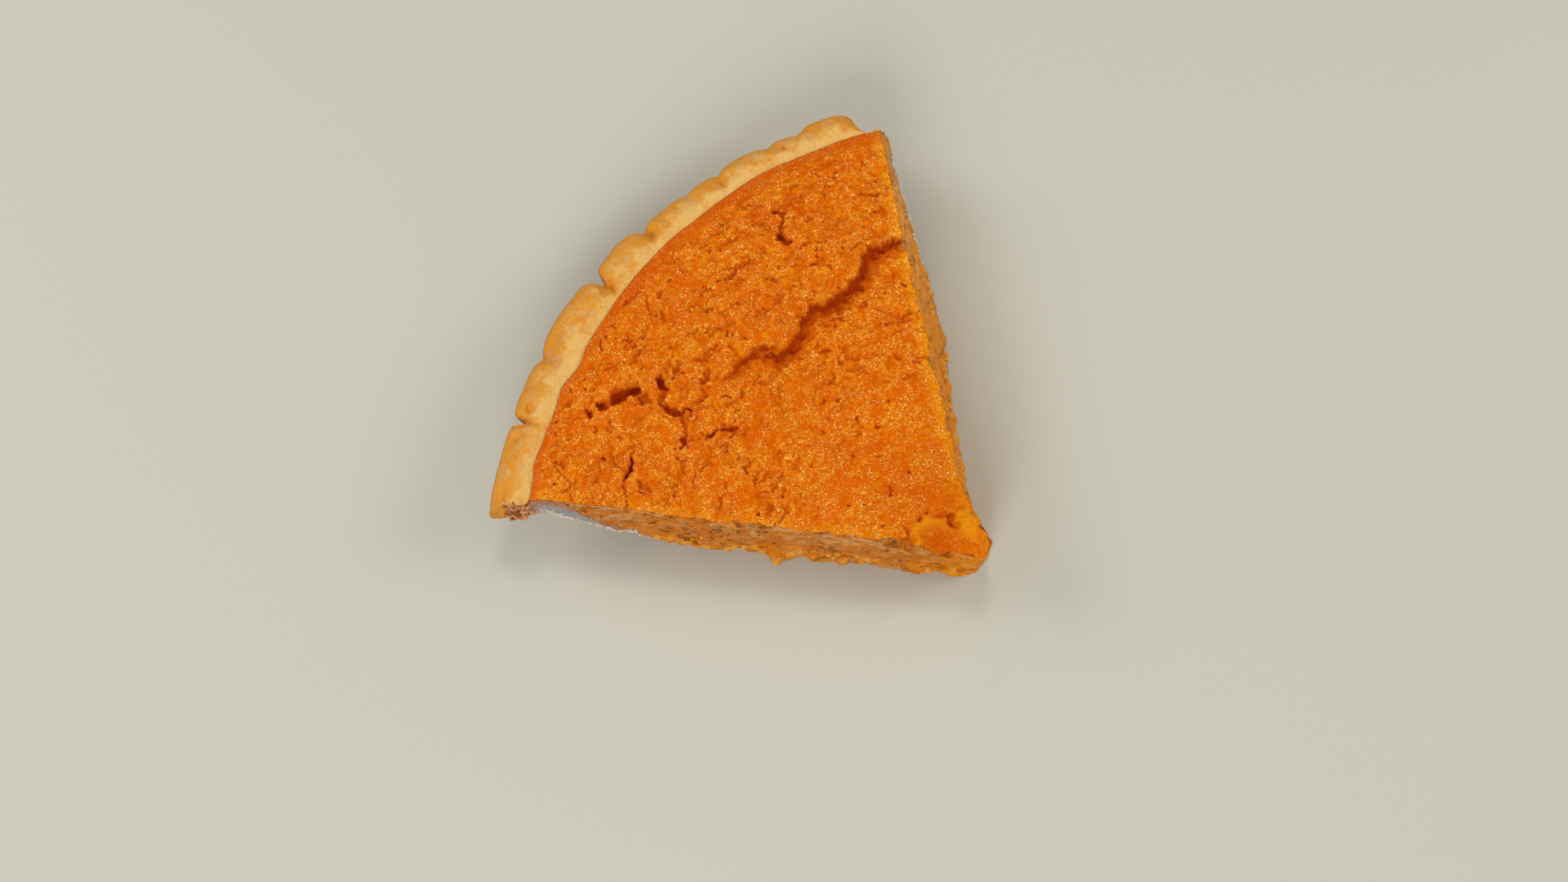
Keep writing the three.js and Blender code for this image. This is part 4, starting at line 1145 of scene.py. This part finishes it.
def filling_material(look):
    """Wet, curdled skin, darker toward the rim, with painted highlights on its wet grains and painted shade
    in its gaps, pits and cracks, and the drawn-out crumb of the cut faces with a painted sheen and painted
    shade.
    """
    material, w, shader, here = new_material("Sweet Potato Filling")
    share, radius, sunk = w.mark("share"), w.mark("radius"), w.mark("sunk")
    below, cut = w.mark("below"), w.mark("cut")
    at_right = w.between(share, 0.2, -0.2)

    broad = w.mottle(here, 0.016, 0.42, 0.62)
    patches = w.mottle(here, 0.0036, 0.44, 0.62)
    fine = w.mottle(here, 0.0011, 0.46, 0.56)
    finest = w.mottle(here, 0.00032, 0.46, 0.62, detail=2.0)
    shadow = w.mottle(here, 0.00055, 0.42, 0.32, detail=2.0)
    near_edge = w.between(w.mark("edge"), 4.0, 0.0)
    toward_front = w.plus(1.0, w.between(share, 0.1, 0.8))
    band = w.between(w.times(w.mark("rimward"), toward_front), 5.5, 0.4)
    calm = w.minus(1.0, w.times(band, 0.5))
    behind_tip = w.plus(0.25, w.times(w.between(radius, 15.0, 21.0), 0.75))
    # gleam: the wet patches, which are smoother and where the painted highlights go
    gleam = w.times(w.mottle(here, 0.0028, 0.4, 0.54), calm, behind_tip)
    uneven = w.plus(0.4, w.times(w.mottle(here, 0.0013, 0.4, 0.6, detail=2.0), 0.6))
    # painted highlights: pale specks that stand in for the lamps' glints on the wet grains
    painted_sparkle_mask = w.larger(w.specks(here, 0.00052, 0.42, 0.5), w.mottle(here, 0.00042, 0.56, 0.66, detail=2.0))
    skin = w.layered(
        look.orange,
        (look.deep_orange, broad, 0.6),
        (look.amber, patches, 0.7),
        (look.deep_orange, fine, 0.8),
        (look.gap, finest, 0.4),
        (look.amber, near_edge, w.plus(0.4, w.times(at_right, 0.4))),
        (look.rim_band, band, 0.75),
        # painted shade: darker in the gaps between the grains
        (look.gap, w.grains(here, 0.00062, 1.0, output="Gap"), 0.35),
        (look.gap, w.between(radius, 36.0, 20.0), 0.36),
        (look.gap, shadow, calm, 0.7),
        # painted highlights on the wet grains, small ones and larger, brighter ones
        (look.painted_sparkle, painted_sparkle_mask, uneven, gleam, 0.9),
        (look.bright, w.specks(here, 0.0008, 0.34, 0.35), gleam, 0.6),
        (look.crack, w.specks(here, 0.0026, 0.17, 0.4), 0.7),
        # painted shade: darker down the walls and slopes of pits and cracks, on their floors and darkest in
        # the narrow cracks, and on the tip's patches of painted shade
        (look.gap, w.between(sunk, 0.1, 0.6), 0.6),
        (look.crack, w.between(sunk, 0.8, 2.5), 0.95),
        (look.deepest_crack_shade, w.between(sunk, 2.9, 3.6)),
        (look.lip, w.between(sunk, -0.1, -1.3), 0.7),
    )

    flat = w.node("ShaderNodeMapping", {"Vector": here, "Scale": (0.6, 0.6, 1.1)}).outputs["Vector"]
    layers = w.mottle(flat, 0.003, 0.4, 0.6, detail=5.0)
    dashes = w.mottle(flat, 0.0022, 0.57, 0.66, detail=4.0)
    pockets = w.mottle(flat, 0.0036, 0.2, 0.8, detail=5.0)
    upper = w.between(below, 18.0, 6.0)
    low = w.between(w.mark("height"), 16.0, 3.0)
    yellow = w.plus(pockets, w.times(w.larger(low, at_right), 0.22))
    tipward = w.larger(w.times(at_right, w.between(radius, 98.0, 50.0)), w.between(radius, 15.0, 6.0))
    lumps = w.plus(w.between(sunk, -0.25, -0.75), w.times(layers, -0.3), clamp=True)
    inside = w.layered(
        look.cut_brown,
        # painted sheen: paler greyish layers, stronger toward the top of the cut
        (look.cut_layers_and_sheen, layers, w.plus(0.3, w.times(upper, 0.55))),
        # painted shade in the dashes, which the bump also sinks
        (look.cut_dash_shade, dashes, 0.6),
        (look.cut_amber, w.between(yellow, 0.66, 0.84), 0.6),
        # partly painted light: the right cut yellower and lighter, as that face is better lit
        (look.right_cut_tone_and_light, at_right, 0.55),
        (look.cut_amber, tipward, 0.6),
        (look.cut_amber, lumps),
        (look.fleck, w.specks(here, 0.0021, 0.2, 0.3), 0.55),
        # the baked line under the skin, widened with painted shade under its overhanging edge
        (look.under_skin_line_and_shade, w.between(w.plus(below, w.times(layers, 1.6)), 3.2, 1.2), 0.7),
    )

    wet = w.times(gleam, w.minus(1.0, w.times(cut, 0.6)), w.between(sunk, 1.2, 0.3))
    crags = w.minus(w.plus(layers, pockets), w.times(dashes, 1.6))
    height = w.plus(w.times(w.grains(here, 0.00062, 1.0), calm), w.times(crags, cut, 3.2))
    shader["Specular IOR Level"].default_value = 0.5
    w.set(shader["Specular Tint"], look.glint)
    w.finish(shader, w.blend(cut, skin, inside), w.minus(0.85, w.times(wet, 0.6)), height, 0.00015)
    return material


def crust_material(look):
    """Dough that is pale by the filling and golden outside, with painted shade in its deepest dents and
    creases, and its cut painted grey and darker as shade.
    """
    material, w, shader, here = new_material("Baked Pastry")
    across, radius, sunk = w.mark("rimward"), w.mark("radius"), w.mark("sunk")

    blotch = w.mottle(here, 0.005, 0.4, 0.62)
    fine = w.mottle(here, 0.0009, 0.42, 0.58)
    wavy = w.plus(across, w.times(blotch, 0.4))
    outer = w.between(wavy, 0.3, 0.75)
    dented = w.between(w.plus(sunk, w.times(blotch, 0.3)), 0.35, 1.1)
    top = w.layered(
        look.cream,
        (look.golden, w.between(wavy, 0.35, 1.0)),
        (look.ochre, w.mottle(here, 0.0026, 0.5, 0.64), w.plus(w.times(outer, 0.55), 0.25)),
        (look.ochre, dented, 0.85),
        (look.pink, w.mottle(here, 0.0034, 0.52, 0.64), outer, 0.55),
        (look.ochre, fine, outer, 0.4),
        (look.brown_and_crease_shade, w.specks(here, 0.0021, 0.16, 0.4), 0.5),
        # painted shade: brown in the deepest dents and creases of the rim
        (look.brown_and_crease_shade, w.between(sunk, 1.4, 2.2), 0.45),
        (look.brown_and_crease_shade, w.between(across, 0.86, 1.0), 0.3),
    )

    flat = w.node("ShaderNodeMapping", {"Vector": here, "Scale": (0.4, 0.4, 1.5)}).outputs["Vector"]
    crumb = w.mottle(flat, 0.0016, 0.38, 0.64)
    baked = w.blend(w.mottle(flat, 0.0011, 0.44, 0.56), look.flake, look.brown_and_crease_shade)
    at_right = w.between(w.mark("share"), 0.2, -0.2)
    below = w.plus(w.mark("below"), w.times(crumb, 1.2))
    # the cut pastry: its Crumb colours are greyed and darkened as painted shade
    inside = w.layered(
        look.crumb,
        (look.crumb_shade, crumb),
        (baked, w.between(radius, 106.0, 111.0)),
        (look.stain, w.between(below, 3.2, 1.8), w.between(radius, 110.0, 107.0), 0.8),
        (look.smear, w.larger(w.between(radius, 82.0, 72.0), w.times(at_right, 0.75)), 0.9),
        (top, w.between(w.plus(radius, w.times(blotch, 1.5)), 115.2, 117.0)),
    )

    height = w.plus(w.grains(here, 0.0008, 0.3), w.times(fine, 0.3))
    shader["IOR"].default_value = 1.4
    w.finish(shader, w.blend(w.mark("cut"), top, inside), w.plus(w.times(fine, 0.12), 0.62), height, 0.0002)
    return material


def bits_material(name, main, second, dark, roughness):
    """Finish of loose bits: two colours in patches, darker in places, with a grain of their own."""
    material, w, shader, here = new_material(name)
    patches = w.mottle(here, 0.0016, 0.4, 0.6)
    shade = w.mottle(here, 0.0009, 0.52, 0.66, detail=2.0)
    colour = w.layered(main, (second, patches), (dark, shade, 0.6))
    rough = w.plus(roughness, w.times(patches, 0.15))
    w.finish(shader, colour, rough, w.grains(here, 0.0004, 0.6), 0.00006)
    return material


def plain_material(name, colour, roughness):
    material, w, shader, _ = new_material(name)
    w.set(shader["Base Color"], colour)
    w.set(shader["Roughness"], roughness)
    return material


# Settings

def colour_property(name, description, rgb):
    return FloatVectorProperty(
        name=name, description=description, subtype="COLOR", size=3, min=0, max=1, default=paint(*rgb),
    )


def length_property(name, description, default, least=0.0001):
    return FloatProperty(name=name, description=description, default=default, min=least, unit="LENGTH")


def amount_property(name, description, default, **more):
    return FloatProperty(name=name, description=description, default=default, min=0, **more)


class PieFillingSettings(bpy.types.PropertyGroup):
    top_spacing: length_property("Top Spacing", "Distance between mesh points on the skin", 0.00034, 0.0002)
    face_spacing: length_property("Face Spacing", "Distance between points down a cut face", 0.00065, 0.0002)
    crack_depth: amount_property(
        "Crack Depth", "Depth of cracks, holes and pits beside the real ones", 1.0, max=1.5, subtype="FACTOR",
    )
    curd_height: amount_property(
        "Curd Height", "Height of the skin's curds beside the real one", 1.0, max=3, subtype="FACTOR",
    )
    pit_count: IntProperty(name="Pits", description="Number of small pits and creases", default=430, min=0)
    seed: IntProperty(name="Seed", description="Seed of the pits' places", default=7, min=0)
    orange: colour_property("Orange", "Main colour of the skin", (240, 122, 3))
    deep_orange: colour_property("Deep Orange", "Redder patches of the skin", (227, 92, 0))
    amber: colour_property("Amber", "Yellower patches and curds", (248, 156, 16))
    rim_band: colour_property("Rim Band", "Skin along the rim", (210, 80, 0))
    # Gap is painted shade between the grains, down pits and on the slopes of cracks, and a darker tone in
    # fine patches and by the tip
    gap: colour_property("Gap", "Gaps between the grains and walls of pits", (204, 80, 0))
    # Crack and Deep Crack are painted shade on the floors of cracks and holes; Crack also colours the skin's
    # dark specks
    crack: colour_property("Crack", "Floors of cracks and holes", (158, 36, 0))
    deepest_crack_shade: colour_property("Deep Crack", "The deepest, narrow cracks", (112, 18, 0))
    lip: colour_property("Lip", "Raised lips of the broken tip", (242, 150, 10))
    # Sparkle and Bright are painted highlights: pale specks that stand in for glints on the wet grains
    painted_sparkle: colour_property("Sparkle", "Pale specks between the grains", (255, 212, 100))
    bright: colour_property("Bright", "The larger, brightest specks", (255, 226, 134))
    glint: colour_property("Glint", "Light that the wet grains throw back", (255, 190, 72))
    cut_brown: colour_property("Cut Brown", "Cut face", (214, 114, 22))
    # Cut Sheen is a painted sheen laid on the paler layers of the cut face
    cut_layers_and_sheen: colour_property("Cut Sheen", "Paler layers of the cut face", (226, 164, 100))
    # Cut Dark is painted shade in the dashes of the cut face
    cut_dash_shade: colour_property("Cut Dark", "Darker dashes of the cut face", (156, 72, 16))
    # Under The Skin is the baked line, widened with painted shade under the skin's overhanging edge
    under_skin_line_and_shade: colour_property("Under The Skin", "Baked line under the skin", (190, 80, 10))
    cut_amber: colour_property("Cut Amber", "Amber lumps of the cut face", (247, 142, 18))
    # Cut Light is a yellower tone and partly painted light: the right cut lighter, as that face is better lit
    right_cut_tone_and_light: colour_property("Cut Light", "Yellower tone of the right cut", (255, 178, 84))
    fleck: colour_property("Fleck", "Pale flecks of the cut face", (238, 212, 172))


class PieCrustSettings(bpy.types.PropertyGroup):
    top_spacing: length_property("Top Spacing", "Distance between mesh points on the rim", 0.0003, 0.0002)
    face_spacing: length_property("Face Spacing", "Distance between points down a cut face", 0.0005, 0.0002)
    cream: colour_property("Cream", "Dough beside the filling", (233, 181, 96))
    golden: colour_property("Golden", "Dough toward the outer edge", (224, 147, 38))
    ochre: colour_property("Ochre", "Egg-coloured spots in the dents", (226, 140, 10))
    pink: colour_property("Pink", "Raw-looking patches by the outer edge", (210, 158, 108))
    # Brown is baked edges, specks and flakes, and also painted shade in the deepest dents and creases
    brown_and_crease_shade: colour_property("Brown", "Baked edges and specks", (150, 88, 30))
    # Crumb and Crumb Shade are the cut pastry painted grey and darker: painted shade, as that cut lies in
    # shade
    crumb: colour_property("Crumb", "Cut pastry", (163, 158, 154))
    crumb_shade: colour_property("Crumb Shade", "Darker layers of the cut pastry", (154, 147, 142))
    flake: colour_property("Flake", "Baked flakes of the rim's cut end", (226, 160, 92))
    smear: colour_property("Smear", "Filling drawn over the cut base", (220, 138, 24))
    stain: colour_property("Stain", "Cut wall browned under the skin", (186, 108, 50))


class PieBitsSettings(bpy.types.PropertyGroup):
    curd_size: length_property("Curd Size", "Half the length of the largest curds", 0.002)
    curd_density: amount_property("Curd Density", "Curds on a square metre of the cut's foot", 700000)
    crumb_size: length_property("Crumb Size", "Half the length of the largest crumbs", 0.0006)
    crumb_density: amount_property("Crumb Density", "Crumbs on a square metre of the wall's foot", 4200000)
    flake_size: length_property("Flake Size", "Half the length of the largest flakes", 0.0011)
    flake_density: amount_property("Flake Density", "Flakes on a square metre of the rim's ends", 1500000)
    seed: IntProperty(name="Seed", description="Seed of the bits' places", default=3, min=0)
    curd: colour_property("Curd", "Amber curds that hang on the cut", (240, 150, 10))
    curd_pale: colour_property("Pale Curd", "Paler curds", (240, 166, 44))
    curd_dark: colour_property("Dark Curd", "Darker parts of the curds", (190, 96, 12))
    crumb: colour_property("Crumb", "Dry crumbs of the cut wall", (232, 222, 210))
    crumb_warm: colour_property("Warm Crumb", "Yellower crumbs", (214, 186, 148))
    flake: colour_property("Flake", "Flakes of the rim's cut end", (226, 160, 96))
    flake_dark: colour_property("Dark Flake", "Browned flakes", (146, 66, 16))


class PieStageSettings(bpy.types.PropertyGroup):
    floor: colour_property("Floor", "Plain pale floor", (201, 196, 178))
    key_power: amount_property("Key Lamp", "Power of the lamp beyond the rim", 1.8, unit="POWER")
    side_power: amount_property("Side Lamps", "Power of the low lamps left and right", 3.6, unit="POWER")
    ambient: amount_property("Ambient", "Brightness of the room", 0.34)


# Operators

def ride_along(piece):
    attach(piece, "root")


def stand_for(piece, node):
    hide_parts(node)
    ride_along(piece)


class PIE_OT_filling(bpy.types.Operator):
    """Make the cracked sweet potato filling"""
    bl_idname = "pie.filling"
    bl_label = "Filling"

    def execute(self, context):
        look = context.scene.pie_filling
        piece = build_filling(look)
        piece.data.materials.append(filling_material(look))
        stand_for(piece, "filling")
        return {"FINISHED"}


class PIE_OT_crust(bpy.types.Operator):
    """Make the pastry shell with its finger-pressed rim"""
    bl_idname = "pie.crust"
    bl_label = "Crust"

    def execute(self, context):
        look = context.scene.pie_crust
        piece = build_crust(look)
        piece.data.materials.append(crust_material(look))
        stand_for(piece, "crust")
        return {"FINISHED"}


class PIE_OT_bits(bpy.types.Operator):
    """Scatter curds, crumbs and flakes over the cut faces"""
    bl_idname = "pie.bits"
    bl_label = "Curds, Crumbs and Flakes"

    def execute(self, context):
        look = context.scene.pie_bits
        filling, crust = bpy.data.objects["Pie_Filling"], bpy.data.objects["Pie_Crust"]
        marks, on_face = marks_of(filling)
        radius, height = marks["radius"], marks["height"]
        clumps = rising(noise(radius / 3.2, height / 2.2, look.seed), -0.1, 0.3)
        foot = rising(height, *CURDS_BELOW) * rising(radius, *CURDS_WITHIN)
        finish = bits_material("Curds", look.curd, look.curd_pale, look.curd_dark, 0.55)
        curds = build_bits("Pie_Curds", filling, on_face * clumps * foot, finish, look.seed, {
            "Density": look.curd_density, "Size": look.curd_size, "Smallest": 0.3, "Bury": 0.45,
            "Lumpiness": 0.0009, "Lump Size": 0.0008,
        })
        ride_along(curds)

        marks, on_face = marks_of(crust)
        radius, height = marks["radius"], marks["height"]
        foot = rising(height - along(PASTRY_UNDERSIDE, radius), *CRUMBS_ABOVE_FOOT)
        foot = foot * rising(radius, *CRUMBS_FROM) * rising(radius, *CRUMBS_WITHIN)
        finish = bits_material("Pastry Crumbs", look.crumb, look.crumb_warm, look.crumb_warm, 0.75)
        crumbs = build_bits("Pie_Crumbs", crust, on_face * foot, finish, look.seed + 1, {
            "Density": look.crumb_density, "Size": look.crumb_size, "Smallest": 0.4, "Bury": 0.1,
            "Lumpiness": 0.0003, "Lump Size": 0.0004,
        })
        ride_along(crumbs)

        past_edge = radius - filling_edge(angle_at(marks["share"], radius))
        at_rim = rising(past_edge, *FLAKES_PAST_EDGE) * rising(radius, *FLAKES_WITHIN)
        finish = bits_material("Pastry Flakes", look.flake, look.flake_dark, look.flake_dark, 0.7)
        flakes = build_bits("Pie_Flakes", crust, on_face * at_rim, finish, look.seed + 2, {
            "Density": look.flake_density, "Size": look.flake_size, "Smallest": 0.35, "Flatness": 0.35,
            "Tilt": 1.2, "Bury": 0.2, "Lumpiness": 0.0005, "Lump Size": 0.0007,
        })
        ride_along(flakes)
        return {"FINISHED"}


class PIE_OT_stage(bpy.types.Operator):
    """Set the floor, the lamps and the camera"""
    bl_idname = "pie.stage"
    bl_label = "Stage"

    def execute(self, context):
        scene, look = context.scene, context.scene.pie_stage
        scene.view_settings.view_transform = "Standard"
        mesh = bpy.data.meshes.new("Stage_Floor")
        corners = [(x * FLOOR_HALF, y * FLOOR_HALF, 0) for x, y in ((-1, -1), (1, -1), (1, 1), (-1, 1))]
        mesh.from_pydata(corners, [], [(0, 1, 2, 3)])
        mesh.materials.append(plain_material("Pale Floor", look.floor, 0.6))
        floor = bpy.data.objects.new("Stage_Floor", mesh)
        scene.collection.objects.link(floor)

        world = bpy.data.worlds.new("Soft Room")
        world.use_nodes = True
        room = world.node_tree.nodes["Background"].inputs
        room["Color"].default_value = (*ROOM_COLOUR, 1)
        room["Strength"].default_value = look.ambient
        scene.world = world

        picture_right = Vector((PICTURE_UP.y, -PICTURE_UP.x, 0))
        for name, ((up, right, high), size, power, share, colour) in LAMPS.items():
            at = PICTURE_UP * up + picture_right * right + Vector((0, 0, high))
            add_lamp(name, at, size, share * getattr(look, power), colour)
        scene.camera = add_camera()
        return {"FINISHED"}


def add_lamp(name, at, size, power, colour):
    """A round soft lamp that faces the slice."""
    lamp = bpy.data.lights.new(name, "AREA")
    lamp.shape = "DISK"
    lamp.size = size
    lamp.energy = power
    lamp.color = colour
    made = bpy.data.objects.new(name, lamp)
    made.location = at
    made.rotation_euler = (-at).to_track_quat("-Z", "Y").to_euler()
    bpy.context.scene.collection.objects.link(made)


def add_camera():
    """The camera nearly overhead, turned so that the rim lies at the top left."""
    camera = bpy.data.cameras.new("Camera")
    camera.sensor_width = SENSOR_WIDTH
    camera.lens = SENSOR_WIDTH / 2 / math.tan(CAMERA_VIEW_ANGLE / 2 * DEGREE)
    made = bpy.data.objects.new("Camera", camera)
    at, aim = Vector(CAMERA_AT), Vector(CAMERA_AIM)
    back = (at - aim).normalized()
    right = PICTURE_UP.cross(back).normalized()
    up = back.cross(right)
    made.matrix_world = Matrix.Translation(at) @ Matrix((right, up, back)).transposed().to_4x4()
    bpy.context.scene.collection.objects.link(made)
    return made


class PIE_PT_panel(bpy.types.Panel):
    bl_label = "Sweet Potato Pie Slice"
    bl_idname = "PIE_PT_panel"
    bl_space_type = "VIEW_3D"
    bl_region_type = "UI"
    bl_category = "Pie"

    def draw(self, context):
        for kind in PIECES:
            self.layout.operator(kind.bl_idname)
        for look in (getattr(context.scene, name) for name in SETTINGS):
            box = self.layout.box()
            for name in look.__annotations__:
                box.prop(look, name)


SETTINGS = {
    "pie_filling": PieFillingSettings, "pie_crust": PieCrustSettings, "pie_bits": PieBitsSettings,
    "pie_stage": PieStageSettings,
}
PIECES = (PIE_OT_crust, PIE_OT_filling, PIE_OT_bits, PIE_OT_stage)


def register():
    for kind in (*SETTINGS.values(), *PIECES, PIE_PT_panel):
        bpy.utils.register_class(kind)
    for name, kind in SETTINGS.items():
        setattr(bpy.types.Scene, name, PointerProperty(type=kind))


def unregister():
    for name in SETTINGS:
        delattr(bpy.types.Scene, name)
    for kind in (PIE_PT_panel, *reversed(PIECES), *reversed(SETTINGS.values())):
        bpy.utils.unregister_class(kind)


def main():
    register()
    bpy.ops.pie.crust()
    bpy.ops.pie.filling()
    bpy.ops.pie.bits()
    bpy.ops.pie.stage()
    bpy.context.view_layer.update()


if __name__ == "__main__":
    main()
